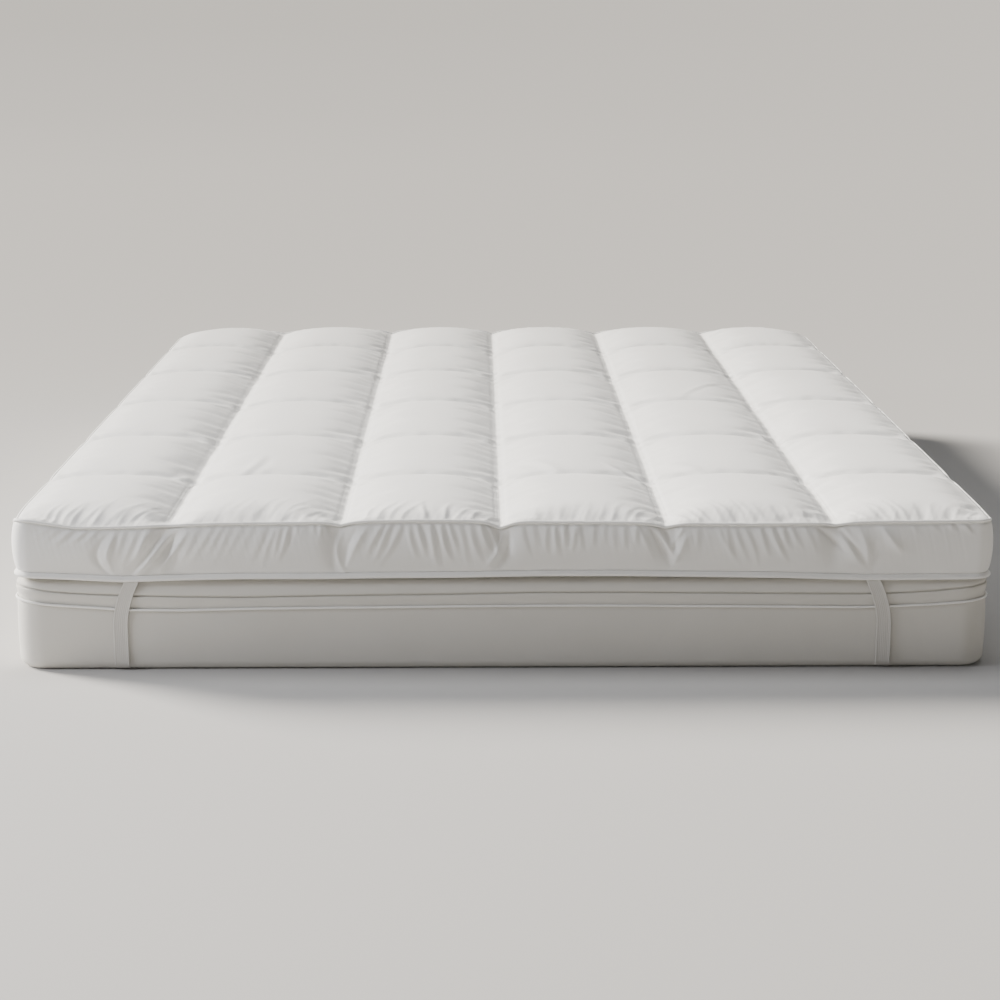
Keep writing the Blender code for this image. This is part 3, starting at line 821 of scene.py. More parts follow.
@dataclass
class Topper:
    """The quilted pad, its side band, its two pipings and its quilting."""

    form: QuiltForm
    finishes: Finishes
    foot_step: float = 0.0023  # spacing of the side band's points along the foot and the head
    side_step: float = 0.0062
    band_rows: int = 32
    band_foot: float = 0.0078  # bottom of the side band above the underside
    tuck: float = 0.0030  # how far down the side band stays tucked in behind the cord
    band_wall: float = 0.011  # thickness of the side band's piece, which is hidden inside
    cord: float = 0.0025  # radius of the top piping
    cloth_lines: int = 20  # lines of the simulated cloth in each column of cells
    cloth_row_lines: int = 24
    cloth_frames: int = 20
    cloth_reach: float = 0.006  # how far the filling may press a point out
    puckers: tuple[float, float] = (0.17, 0.32)  # millimetres, beside lengthwise and cross seams
    pucker_waves: tuple[float, float] = (0.024, 0.034)  # from ripple to ripple, in the same order
    tucks: float = 0.5  # millimetres, where two seams cross
    tuck_rise: float = 0.014  # how far from the crossing a tuck reaches its height
    tuck_fall: float = 0.034  # how slowly it fades from there
    tuck_limit: float = 0.12  # past which it is left out
    free_run: float = 0.012  # distance from the rim in which the ripples grow
    slack: float = 0.7  # millimetres by which the whole top is uneven
    fine_gathers: tuple[float, float] = (0.20, 0.4)  # millimetres, on the top and on the side band
    side_ripple: float = 1.6  # millimetres, on the long sides' band
    corner_run: float = 0.14  # distance from a corner in which the side takes on its full roundness
    roundness: float = 1.35  # how far the side stands out between its corners, beside at them
    pressed: tuple | None = None  # lines across, lines along and how far each point was pressed out

    # ------------------------------------------------------------ the top panel
    def lines(self, edges: tuple[float, ...], count: int) -> Array:
        """Places of the grid's lines, closer together near the seams.

        Args:
            edges: The seams and the rim.
            count: How many lines each column or row gets.

        Returns:
            The places from the first edge to the last.
        """
        share = np.arange(count) / count
        share = 0.55 * share + 0.45 * (0.5 - 0.5 * np.cos(math.pi * share))
        places = [low + share * (high - low) for low, high in zip(edges, edges[1:])]
        return np.concatenate([*places, [edges[-1]]])

    def gathers(self, x: Array, from_rim: Array) -> Array:
        """Height of the gathers behind the foot's piping.

        Args:
            x: Places across the bed.
            from_rim: How far in from the rim they are.

        Returns:
            How far the gathers stand up, in metres.
        """
        shake, slant, waver = 2.2, 0.22, 1.2  # how a gather's place, lean and line differ
        vary, trough = 0.35, 0.35  # how its height differs, and the trough's share of that height
        stand = np.zeros_like(x)
        across = x / MM
        inward = from_rim / MM
        for fan in TOP_FANS:
            start, end = fan.reach
            share = np.clip((inward - start) / (end - start), 0.0, 1.0)
            swell = np.sin(math.pi * share**0.55) * (inward < end)
            for number in range(fan.count):
                foot, lean = fan.gather(number)
                foot += shake * math.sin(7.3 * number + fan.seed)
                lean *= 1.0 + slant * math.sin(3.1 * number + 2.0 * fan.seed)
                middle = foot + lean * share**1.25 + waver * np.sin(inward / 9.0 + number)
                high = fan.height * (1.0 + vary * math.sin(5.9 * number + 1.4 * fan.seed))
                stand += high * swell * crisp(across - middle, fan.half)
                stand -= trough * high * swell * bump(across - middle - 1.6 * fan.half, fan.half)
        return stand * MM

    def seam_puckers(self, x: Array, y: Array) -> Array:
        """The small ripples that the stitching pulls up on both sides of each seam."""
        form = self.form
        stand = np.zeros_like(x)
        for number, seam in enumerate(form.seams_across):
            for side in (-1.0, 1.0):
                away = side * (x - seam)
                reach = 0.026 + 0.010 * np.sin(17.0 * y + 2.0 * number + side)
                swell = np.where(away > 0.0, (away / 0.009) * np.exp(1.0 - away / reach), 0.0)
                swell = np.minimum(swell, np.exp(-away / reach))
                ripple = uneven(y + 0.18 * away * side, self.pucker_waves[0], 3.0 * number + side)
                stand += self.puckers[0] * MM * swell * ripple
        for number, seam in enumerate(form.seams_along):
            for side in (-1.0, 1.0):
                away = side * (y - seam)
                swell = np.where(away > 0.0, np.minimum(away / 0.012, np.exp(-away / 0.030)), 0.0)
                ripple = uneven(x + 0.25 * away, self.pucker_waves[1], 5.0 * number + side)
                stand += self.puckers[1] * MM * swell * ripple
        return stand

    def crossing_tucks(self, x: Array, y: Array) -> Array:
        """The star of tucks where two seams cross."""
        stand = np.zeros_like(x)
        for column, seam_x in enumerate(self.form.seams_across):
            for row, seam_y in enumerate(self.form.seams_along):
                span_x = x - seam_x
                span_y = y - seam_y
                far = np.hypot(span_x, span_y)
                near = far < self.tuck_limit
                angle = np.arctan2(span_y[near], span_x[near])
                far = far[near]
                swell = np.minimum(far / self.tuck_rise, np.exp(-far / self.tuck_fall))
                count = 9 + (column + 2 * row) % 3
                star = np.sin(count * angle + 2.3 * column + 1.1 * row)
                star += 0.6 * np.sin((count + 4) * angle + 1.9 * row - column)
                stand[near] += self.tucks * MM * swell * star
        return stand

    def creases(self, x: Array, y: Array) -> Array:
        """The few single creases that cross a cell."""
        stand = np.zeros_like(x)
        for first_x, first_y, last_x, last_y, bow, high, half in TOP_CREASES:
            length = math.hypot(last_x - first_x, last_y - first_y)
            run_x = (last_x - first_x) / length
            run_y = (last_y - first_y) / length
            from_x = x / MM - first_x
            from_y = y / MM - first_y
            share = np.clip((from_x * run_x + from_y * run_y) / length, 0.0, 1.0)
            aside = from_x * run_y - from_y * run_x + bow * np.sin(math.pi * share)
            swell = np.sin(math.pi * share) ** 0.7
            stand += high * swell * (crisp(aside, half) - 0.7 * bump(aside - 1.8 * half, half))
        return stand * MM

    def smooth_top(self, x: Array, y: Array) -> Array:
        """Points of the top panel without its ripples, at places of its flat grid."""
        form = self.form
        x = np.clip(x, -form.half_x, form.half_x)
        y = np.clip(y, -form.half_y, form.half_y)
        flat_x, flat_y, _ = form.plan(x, y)
        return np.stack([flat_x, flat_y, form.level + form.height(x, y)], axis=-1)

    def top_points(self, x: Array, y: Array) -> Array:
        """Points of the top panel with its ripples, which stand square to the cloth.

        Args:
            x: Places across its flat grid.
            y: Places along it.

        Returns:
            The points.
        """
        form = self.form
        near = 0.0015
        run_x = self.smooth_top(x + near, y) - self.smooth_top(x - near, y)
        run_y = self.smooth_top(x, y + near) - self.smooth_top(x, y - near)
        normal = unit(np.cross(run_x, run_y))
        inside_x = form.half_x - np.abs(x)
        inside_y = form.half_y - np.abs(y)
        from_edge = np.minimum(inside_x, inside_y)
        free = ease(from_edge / self.free_run)
        relief = (self.seam_puckers(x, y) + self.crossing_tucks(x, y) + self.creases(x, y)) * free
        end = np.where(y < 0.0, 1.0, -1.0)
        gathered = self.gathers(end * x, np.minimum(inside_y, 0.2))
        fine = uneven(x - 0.35 * inside_y, 0.0105, 5.0) * np.exp(-inside_y / 0.030)
        gathered += self.fine_gathers[0] * MM * fine
        relief += gathered * ease(inside_y / 0.003) * ease(inside_x / 0.03)
        relief += self.slack * MM * free * uneven(x + 0.4 * y, 0.19, 1.0) * uneven(y - 0.3 * x, 0.23, 2.0)
        points = self.smooth_top(x, y) + self.pressed_by(x, y) + normal * relief[..., None]
        on_rim = from_edge < 1e-9
        seam, _, _ = form.rim(x[on_rim], y[on_rim])
        points[on_rim] = seam
        return points

    def press_out(self) -> None:
        """Lets the filling press the top panel out between its seams, as a cloth under pressure."""
        form = self.form
        xs = self.lines(form.columns, self.cloth_lines)
        ys = self.lines(form.rows, self.cloth_row_lines)
        grid_x, grid_y = np.meshgrid(xs, ys, indexing="ij")
        start = self.smooth_top(grid_x, grid_y).reshape(-1, 3)
        numbers = np.arange(len(start)).reshape(grid_x.shape)
        corners = (numbers[:-1, :-1], numbers[1:, :-1], numbers[1:, 1:], numbers[:-1, 1:])
        cloth = mesh_piece("pressed_cloth", start, np.stack(corners, axis=-1).reshape(-1, 4).tolist())
        sewn = np.isin(grid_x, form.columns) | np.isin(grid_y, form.rows)
        cloth.vertex_groups.new(name="sewn").add(numbers[sewn].tolist(), 1.0, "REPLACE")
        modifier = cloth.modifiers.new("pressed", "CLOTH")
        for name, value in CLOTH.items():
            setattr(modifier.settings, name, value)
        modifier.settings.effector_weights.gravity = 0.0
        modifier.point_cache.frame_end = self.cloth_frames
        scene = bpy.context.scene
        for moment in range(1, self.cloth_frames + 1):
            scene.frame_set(moment)
        swollen = cloth.evaluated_get(bpy.context.evaluated_depsgraph_get()).to_mesh()
        found = np.empty(len(start) * 3)
        swollen.vertices.foreach_get("co", found)
        moved = found.reshape(-1, 3) - start
        far = np.linalg.norm(moved, axis=1, keepdims=True)
        moved *= self.cloth_reach * np.tanh(far / self.cloth_reach) / np.maximum(far, 1e-9)
        scene.frame_set(1)
        bpy.data.objects.remove(cloth)
        log.info("pressed cloth: mean %.1f mm, most %.1f mm", far.mean() / MM, far.max() / MM)
        self.pressed = (xs, ys, moved.reshape(len(xs), len(ys), 3))

    def pressed_by(self, x: Array, y: Array) -> Array:
        """How far the filling pressed the cloth out, read smoothly from the simulated grid."""
        total = np.zeros((*x.shape, 3))
        if self.pressed is None:
            return total
        xs, ys, moved = self.pressed
        place_x = np.interp(x, xs, np.arange(len(xs)))
        place_y = np.interp(y, ys, np.arange(len(ys)))
        first_x = np.floor(place_x).astype(int)
        first_y = np.floor(place_y).astype(int)
        weights_x = spline_weights(place_x - first_x)
        weights_y = spline_weights(place_y - first_y)
        for step_x, weight_x in enumerate(weights_x):
            column = np.clip(first_x + step_x - 1, 0, len(xs) - 1)
            for step_y, weight_y in enumerate(weights_y):
                row = np.clip(first_y + step_y - 1, 0, len(ys) - 1)
                total += moved[column, row] * (weight_x * weight_y)[..., None]
        return total

    def pad_part(self, name: str, across: int, ys: Array) -> bpy.types.Object:
        """Some rows of cells of the filled pad, with a plain hidden body below.

        Args:
            name: The piece's name.
            across: Grid lines in each column of cells.
            ys: Its grid lines along the bed.

        Returns:
            The closed piece.
        """
        form = self.form
        xs = self.lines(form.columns, across)
        grid_x, grid_y = np.meshgrid(xs, ys, indexing="ij")
        points = self.top_points(grid_x, grid_y)
        loft = Loft()
        numbers = loft.add_row(points.reshape(-1, 3)).reshape(len(xs), len(ys))
        for column in range(len(xs) - 1):
            left, right = xs[column : column + 2]
            loft.skin(numbers[column], numbers[column + 1], ys, float(left), float(right), False)
        last_x = len(xs) - 1
        last_y = len(ys) - 1
        around = [(column, 0) for column in range(last_x)] + [(last_x, row) for row in range(last_y)]
        around += [(column, last_y) for column in range(last_x, 0, -1)]
        around += [(0, row) for row in range(last_y, 0, -1)]
        picks = tuple(np.array(around).T)
        upper = numbers[picks]
        edge_x = grid_x[picks]
        edge_y = grid_y[picks]
        seam, outward, _ = form.rim(edge_x, edge_y)
        on_cut = (form.half_y - np.abs(edge_y) > 1e-9) & (form.half_x - np.abs(edge_x) > 1e-9)
        seam[on_cut] = points[picks][on_cut]
        outward[on_cut] = 0.0
        hidden = 0.5 * MM + self.band_wall
        along = np.linspace(0.0, 2.0 * (form.half_x + form.half_y), len(upper) + 1)
        for inset, height in (
            (hidden, form.level - 0.028),
            (hidden + 0.004, form.underside + 0.004),
            (hidden + 0.008, form.underside),
        ):
            ring = seam - outward * inset
            ring[:, 2] = height
            lower = loft.add_row(ring)
            loft.skin(upper, lower, along, 0.0, -0.05, True)
            upper = lower
        loft.cap(upper[::-1], np.array([0.0, float(ys[0] + ys[-1]) / 2, form.underside]))
        piece = loft.piece(name)
        piece.data.set_sharp_from_angle(angle=math.radians(62.0))
        return dress(piece, self.finishes.cover, "cover_cotton", "topper_pad")

    def pad(self) -> list[bpy.types.Object]:
        """The filled pad in three parts, which meet in the first and last seams across it."""
        form = self.form
        foot_seam = form.seams_along[0]
        head_seam = form.seams_along[-1]
        near_foot = (np.arange(93) / 92) ** 1.42
        near_head = (np.arange(73) / 72) ** 1.42
        parts = (
            ("topper_pad_foot_row", 126, -form.half_y + near_foot * (foot_seam + form.half_y)),
            ("topper_pad_middle_rows", 60, self.lines(form.rows[1:-1], 60)),
            ("topper_pad_head_row", 84, form.half_y - near_head[::-1] * (form.half_y - head_seam)),
        )
        return [self.pad_part(*part) for part in parts]

    # ------------------------------------------------------------ the side band
    def top_seam(self) -> tuple[Array, ...]:
        """The top seam all the way round, with its points close together along the foot and the head.

        Returns:
            The places across and along on the rectangle's edge, and what form.rim says of them.
        """
        form = self.form
        count_x = round(2.0 * form.half_x / self.foot_step)
        count_y = round(2.0 * form.half_y / self.side_step)
        across = np.linspace(-form.half_x, form.half_x, count_x + 1)
        along = np.linspace(-form.half_y, form.half_y, count_y + 1)
        side = np.full(count_y, form.half_x)
        end = np.full(count_x, form.half_y)
        x = np.concatenate([across[:-1], side, across[:0:-1], -side])
        y = np.concatenate([-end, along[:-1], end, along[:0:-1]])
        return x, y, *form.rim(x, y)

    def band_folds(self, x: Array, y: Array, fall: float) -> Array:
        """How far the gathers of the side band stand out at a share of its height.

        Args:
            x: Places across the bed, on the rectangle's edge.
            y: Places along it.
            fall: Share of the way from the top seam to the bottom one.

        Returns:
            Distances in metres.
        """
        shake, shorten, waver = 2.4, 0.30, 1.5  # how a gather's place, length and line differ
        vary, trough = 0.4, 0.5  # how its height differs, and the trough's share of that height
        form = self.form
        at_end = np.abs(y) >= form.half_y - 1e-9
        across = np.where(y < 0.0, x, -x) / MM
        stand = np.zeros_like(x)
        for top_x, bottom_x, bow, depth, half, start, end in END_FOLDS:
            if start < fall < end:
                middle = top_x + (bottom_x - top_x) * fall + bow * math.sin(math.pi * fall)
                share = math.sin(math.pi * (fall - start) / (end - start)) ** 0.8
                stand += depth * share * crisp(across - middle, half)
        for fan in SIDE_FANS:
            start, end = fan.reach
            if not start < fall < end:
                continue
            share = (fall - start) / (end - start)
            for number in range(fan.count):
                stop = 1.0 - shorten * (0.5 + 0.5 * math.sin(4.3 * number + fan.seed))
                if share > stop:
                    continue
                swell = math.sin(math.pi * (share / stop) ** 0.6)
                place, lean = fan.gather(number)
                place += shake * math.sin(7.9 * number + fan.seed)
                middle = place + lean * fall + waver * math.sin(6.0 * fall + 2.0 * number + fan.seed)
                high = fan.height * (1.0 + vary * math.sin(5.3 * number + 1.7 * fan.seed))
                stand += high * swell * crisp(across - middle, fan.half)
                stand -= trough * high * swell * bump(across - middle - 1.7 * fan.half, fan.half)
        straight = ease((form.half_x - form.corner * 0.4 - np.abs(x)) / 0.03)
        fade = math.exp(-2.2 * fall) * math.sin(math.pi * fall) ** 0.5
        stand += self.fine_gathers[1] * fade * uneven(x - 0.02 * fall, 0.0095, 8.0)
        ripple = uneven(y + 0.01 * fall, 0.027, 4.0) * uneven(y, 0.31, 6.0)
        near_top = (fall * (1.0 - fall) * 4.0) * math.exp(-1.6 * fall)
        return np.where(at_end, stand * straight, self.side_ripple * near_top * ripple) * MM

    def hem_wave(self, points: Array, column: int) -> Array:
        """How much a hem wavers in height; column 1 is the topper's, 2 the crease, 3 the piping."""
        rows = np.array(FOOT_WAVES)
        end = np.where(points[..., 1] < 0.0, 1.0, -1.0)
        waver = np.interp(end * points[..., 0] / MM, rows[:, 0], rows[:, column]) * MM
        near_end = ease((np.abs(points[..., 1]) - self.form.half_y + 0.30) / 0.28)
        return waver * near_end

    def side_band(self) -> bpy.types.Object:
        """The gathered side band, from the top seam to the bottom one, closed by a hidden inside."""
        form = self.form
        x, y, seam, outward, near = self.top_seam()
        waver = self.hem_wave(seam, 1)
        bottom = form.underside + self.band_foot + waver
        from_corner = form.half_x - np.abs(x) + form.half_y - np.abs(y)
        between = ease(from_corner / self.corner_run)
        rings = []
        for row in range(self.band_rows + 1):
            fall = (row / self.band_rows) ** 1.35
            round_share = math.sin(math.pi * fall**0.80) ** (0.75 if fall < 0.42 else 1.05)
            square_share = math.sin(math.pi * fall) ** 0.45
            full = square_share + (self.roundness * round_share - square_share) * between
            stand = form.bulge * full * (1.0 - form.pinch * near * (1.0 - 0.5 * fall))
            stand = stand + self.band_folds(x, y, fall)
            clear = float(ease(np.array((fall * form.side - self.tuck) / (0.8 * self.tuck))))
            stand = stand * clear - 0.0016 * (1.0 - clear)
            inward = form.draw_in * near * (1.0 - fall)
            ring = seam + outward * (form.draw_in * near - inward + stand)[:, None]
            ring[:, 2] = seam[:, 2] + (bottom - seam[:, 2]) * fall
            rings.append(ring)
        low = form.underside + waver
        for inset, height in (
            (form.bottom_in, low + 0.0008),
            (form.bottom_in + 0.004, low),
            (self.band_wall, low + 0.001),
            (self.band_wall, form.level - 0.030),
        ):
            ring = rings[self.band_rows] - outward * inset
            ring[:, 2] = height
            rings.append(ring)
        piece = loft_rings("topper_side_band", rings, True)
        return dress(piece, self.finishes.cover, "cover_cotton", "topper_pad")

    # ------------------------------------------------------------ the pipings
    def top_piping(self) -> bpy.types.Object:
        """The cord sewn into the top seam."""
        form = self.form
        x, _, seam, outward, _ = self.top_seam()
        ends = np.abs(outward[:, 1])
        path = seam + outward * (form.piping_out + 0.5 * MM * ends - 0.4 * MM * (1.0 - ends))[:, None]
        path[:, 2] += 0.25 * MM * uneven(np.cumsum(np.full(len(x), self.foot_step)), 0.05, 3.0)
        path[:, 2] += 0.5 * MM * ends - 2.0 * MM * (1.0 - ends)
        section = round_section(self.cord, 10)
        piece = loft_rings("topper_top_piping_cord", cord_rings(path, outward, section), True)
        return dress(piece, self.finishes.piping, "piping_cotton", "topper_piping_top")

    def bottom_piping(self) -> bpy.types.Object:
        """The binding over the bottom seam: a soft round edge with a narrow flange above it."""
        form = self.form
        _, _, seam, outward, near = self.top_seam()
        path = seam + outward * (form.draw_in * near + form.bottom_piping_out)[:, None]
        path[:, 2] = form.underside + 0.0036 + self.hem_wave(seam, 1)
        section = [
            (-0.0032, 0.0053),
            (-0.0014, 0.0052),
            (0.0002, 0.0044),
            (0.0008, 0.0030),
            (0.0026, 0.0020),
            (0.0034, 0.0006),
            (0.0034, -0.0010),
            (0.0024, -0.0026),
            (0.0006, -0.0034),
            (-0.0014, -0.0032),
            (-0.0030, -0.0018),
            (-0.0030, 0.0020),
        ]
        piece = loft_rings("topper_bottom_piping_cord", cord_rings(path, outward, section), True)
        return dress(piece, self.finishes.piping, "piping_cotton", "topper_piping_bottom")

    def build(self) -> None:
        """Makes every piece of the topper but its straps."""
        self.press_out()
        for part in self.pad():
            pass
        self.side_band()
        self.top_piping()
        self.bottom_piping()


# ---------------------------------------------------------------- sewing
@dataclass
class Sewing:
    """The stitches of the quilting, laid along its seams by a node tree."""

    topper: Topper
    finishes: Finishes
    pitch: float = 0.0056  # from one stitch to the next
    length: float = 0.0042  # of one stitch
    thickness: float = 0.0008  # of the thread
    seed: int = 3  # for how the stitches vary
    least: float = 0.86  # the smallest stitch beside a usual one
    most: float = 1.10
    edge: float = 0.010  # how far in from the rim the rows end
    sunk: float = 0.0001  # how far the thread's middle lies below the cloth

    def stitch_tree(self) -> bpy.types.NodeTree:
        """The tree that lays stitches along every edge path of a mesh.

        Returns:
            A node tree whose inputs are the stitches' pitch, length, thickness, seed and finish.
        """
        tree = bpy.data.node_groups.new("row_of_stitches", "GeometryNodeTree")
        sockets = {
            "Paths": "Geometry",
            "Pitch": "Float",
            "Length": "Float",
            "Thickness": "Float",
            "Seed": "Int",
            "Finish": "Material",
        }
        for name, kind in sockets.items():
            tree.interface.new_socket(name=name, in_out="INPUT", socket_type="NodeSocket" + kind)
        tree.interface.new_socket(name="Stitches", in_out="OUTPUT", socket_type="NodeSocketGeometry")
        given = add_node(tree, "NodeGroupInput").outputs
        curve = add_node(tree, "GeometryNodeMeshToCurve", {}, {0: given["Paths"]})
        links = {"Curve": curve.outputs[0], "Length": given["Pitch"]}
        spots = add_node(tree, "GeometryNodeCurveToPoints", {"mode": "LENGTH"}, links).outputs
        bead = add_node(tree, "GeometryNodeMeshIcoSphere", {"Radius": 0.5, "Subdivisions": 1})
        links = {"X": given["Thickness"], "Y": given["Thickness"], "Z": given["Length"]}
        size = add_node(tree, "ShaderNodeCombineXYZ", {}, links)
        span = {"data_type": "FLOAT", 2: self.least, 3: self.most}
        vary = add_node(tree, "FunctionNodeRandomValue", span, {"Seed": given["Seed"]})
        links = {0: size.outputs[0], "Scale": vary.outputs[1]}
        scaled = add_node(tree, "ShaderNodeVectorMath", {"operation": "SCALE"}, links)
        links = {name: spots[name] for name in ("Points", "Rotation")}
        links |= {"Instance": bead.outputs["Mesh"], "Scale": scaled.outputs[0]}
        placed = add_node(tree, "GeometryNodeInstanceOnPoints", {}, links)
        real = add_node(tree, "GeometryNodeRealizeInstances", {}, {0: placed.outputs[0]})
        links = {"Geometry": real.outputs[0], "Material": given["Finish"]}
        dressed = add_node(tree, "GeometryNodeSetMaterial", {}, links)
        add_node(tree, "NodeGroupOutput", {}, {0: dressed.outputs[0]})
        return tree

    def seam_paths(self) -> bpy.types.Object:
        """The seams of the quilting, as paths of edges on the top panel."""
        form = self.topper.form
        paths = []
        for seam in form.seams_across:
            y = np.linspace(-form.half_y + self.edge, form.half_y - self.edge, 420)
            paths.append(self.topper.top_points(np.full_like(y, seam), y))
        for seam in form.seams_along:
            x = np.linspace(-form.half_x + self.edge, form.half_x - self.edge, 360)
            paths.append(self.topper.top_points(x, np.full_like(x, seam)))
        edges = []
        start = 0
        for path in paths:
            edges += [(start + index, start + index + 1) for index in range(len(path) - 1)]
            start += len(path)
        mesh = bpy.data.meshes.new("seam_paths")
        mesh.from_pydata((np.vstack(paths) - (0.0, 0.0, self.sunk)).tolist(), edges, [])
        return put_in_scene("seam_paths", mesh)

    def build(self) -> None:
        """Sews the quilting and makes it one plain mesh."""
        guide = self.seam_paths()
        rows = guide.modifiers.new("stitches", "NODES")
        rows.node_group = self.stitch_tree()
        values = {
            "Pitch": self.pitch,
            "Length": self.length,
            "Thickness": self.thickness,
            "Seed": self.seed,
            "Finish": self.finishes.thread,
        }
        for item in rows.node_group.interface.items_tree:
            if item.name in values:
                rows[item.identifier] = values[item.name]
        bpy.context.view_layer.update()
        evaluated = guide.evaluated_get(bpy.context.evaluated_depsgraph_get())
        sewn = bpy.data.meshes.new_from_object(evaluated)
        sewn.name = "quilting_stitches"
        sewn.shade_smooth()
        guide.modifiers.clear()
        bpy.data.objects.remove(guide)
        dress(put_in_scene("quilting_stitches", sewn), self.finishes.thread, "cover_cotton")


# ---------------------------------------------------------------- the mattress
@dataclass
class Mattress:
    """The plain mattress: a filled border with a soft lip, its tape and its piping."""

    topper: Topper
    finishes: Finishes
    corner: float = 0.045
    floor_round: float = 0.015
    lip_round: float = 0.020
    crease: float = 0.0034
    crease_height: float = 0.1231
    tape_low: float = 0.1048
    tape_high: float = 0.1222
    piping: float = 0.0020
    piping_height: float = 0.1008
    step: float = 0.008
    hollow: float = 0.0025  # depth of the hollow that a strap presses into the underside
    hollow_half: float = 0.0125  # half-width of its flat bottom
    hollow_slope: float = 0.006  # width of its slope

    def __post_init__(self) -> None:
        """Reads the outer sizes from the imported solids."""
        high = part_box("mattress_body")[1]
        self.half_x = high.x
        self.half_y = high.y
        self.height = high.z
        self.outline = perimeter(self.half_x, self.half_y, self.corner, self.step)

    def ring(self, inset: float, height: float, crease: float = 0.0, piping: float = 0.0) -> Array:
        """A ring round the mattress.

        Args:
            inset: Distance in from its face.
            height: Above the floor.
            crease: Share of the crease's waver that it follows.
            piping: Share of the piping's waver.

        Returns:
            Its points.
        """
        points = np.zeros((len(self.outline), 3))
        points[:, :2] = self.outline[:, :2] - inset * self.outline[:, 2:]
        points[:, 2] = height
        points[:, 2] += crease * self.topper.hem_wave(points, 2) + piping * self.topper.hem_wave(points, 3)
        return points

    def outward(self) -> Array:
        """The outward direction at each point of a ring."""
        return np.column_stack([self.outline[:, 2:], np.zeros(len(self.outline))])

    def side(self) -> list[tuple[float, float, float, float]]:
        """The side from the lip down: inset, height, and shares of the crease's and piping's waver."""
        rows: list[tuple[float, float, float, float]] = []
        for step in range(13):
            angle = math.pi / 2 * (1.0 - step / 12)
            drop = 1.0 - math.sin(angle)
            inset = self.lip_round * (1.0 - math.cos(angle))
            rows.append((inset, self.height - self.lip_round * drop, drop, 0.0))
        rows += [
            (0.0010, self.crease_height + 0.0012, 1.0, 0.0),
            (self.crease, self.crease_height, 1.0, 0.0),
            (0.0014, self.crease_height - 0.0010, 1.0, 0.0),
            (0.0034, self.piping_height + 0.0030, 0.0, 1.0),
            (0.0016, self.piping_height, 0.0, 1.0),
            (0.0016, self.piping_height - 0.0016, 0.0, 1.0),
            (0.0006, self.piping_height - 0.0034, 0.0, 1.0),
        ]
        top = self.piping_height - 0.0085
        for step in range(8):
            share = 1.0 - step / 7
            swell = 0.0010 * math.sin(math.pi * share)
            rows.append((-swell, self.floor_round + (top - self.floor_round) * share, 0.0, share))
        for step in range(1, 8):
            angle = math.pi / 2 * step / 7
            inset = self.floor_round * (1.0 - math.cos(angle))
            rows.append((inset, self.floor_round * (1.0 - math.sin(angle)), 0.0, 0.0))
        return rows

    def body(self) -> bpy.types.Object:
        """The mattress's own cover over its filling."""
        rings = [self.ring(0.10, self.height), self.ring(0.045, self.height)]
        rings += [self.ring(*row) for row in self.side()]
        for inset in np.arange(0.020, 0.150, 0.007):
            ring = self.ring(inset, 0.0)
            ring[:, 2] = self.underside(ring)
            rings.append(ring)
        rings.append(self.ring(0.20, 0.0))
        piece = loft_rings("mattress_border_filled", rings, False)
        return dress(piece, self.finishes.ticking, "mattress_ticking", "mattress_body")

    def underside(self, ring: Array) -> Array:
        """Height of the underside, into which the straps press."""
        in_x = self.half_x - np.abs(ring[:, 0])
        in_y = self.half_y - np.abs(ring[:, 1])
        path = Strap.half_path()[:, :2]
        path = np.vstack([path, path[:, ::-1]])
        away = np.min([np.hypot(in_x - from_side, in_y - from_end) for from_side, from_end in path], axis=0)
        return self.hollow * (1.0 - ease((away - self.hollow_half) / self.hollow_slope))

    def tape(self) -> bpy.types.Object:
        """The woven tape sewn round the mattress."""
        low = self.piping_height + 0.0008
        rows = (
            (0.0009, self.tape_high, 1.0, 0.0),
            (-0.0001, self.tape_high, 1.0, 0.0),
            (-0.0007, self.tape_high - 0.0012, 1.0, 0.0),
            (-0.0011, self.tape_high - 0.0050, 0.7, 0.3),
            (0.0001, self.tape_high - 0.0105, 0.4, 0.6),
            (0.0017, low + 0.0030, 0.0, 1.0),
            (0.0013, low + 0.0008, 0.0, 1.0),
            (0.0017, low, 0.0, 1.0),
            (0.0031, low, 0.0, 1.0),
        )
        piece = loft_rings("mattress_tape_band", [self.ring(*row) for row in rows], True)
        dress(piece, self.finishes.tape, "mattress_tape", "mattress_tape")
        return piece

    def cord(self) -> bpy.types.Object:
        """The mattress's piping."""
        path = self.ring(-0.0008, self.piping_height, 0.0, 1.0)
        rings = cord_rings(path, self.outward(), round_section(self.piping, 8))
        piece = loft_rings("mattress_piping_cord", rings, True)
        return dress(piece, self.finishes.piping, "mattress_tape", "mattress_piping")

    def build(self) -> None:
        """Makes the mattress."""
        self.body()
        self.tape()
        self.cord()


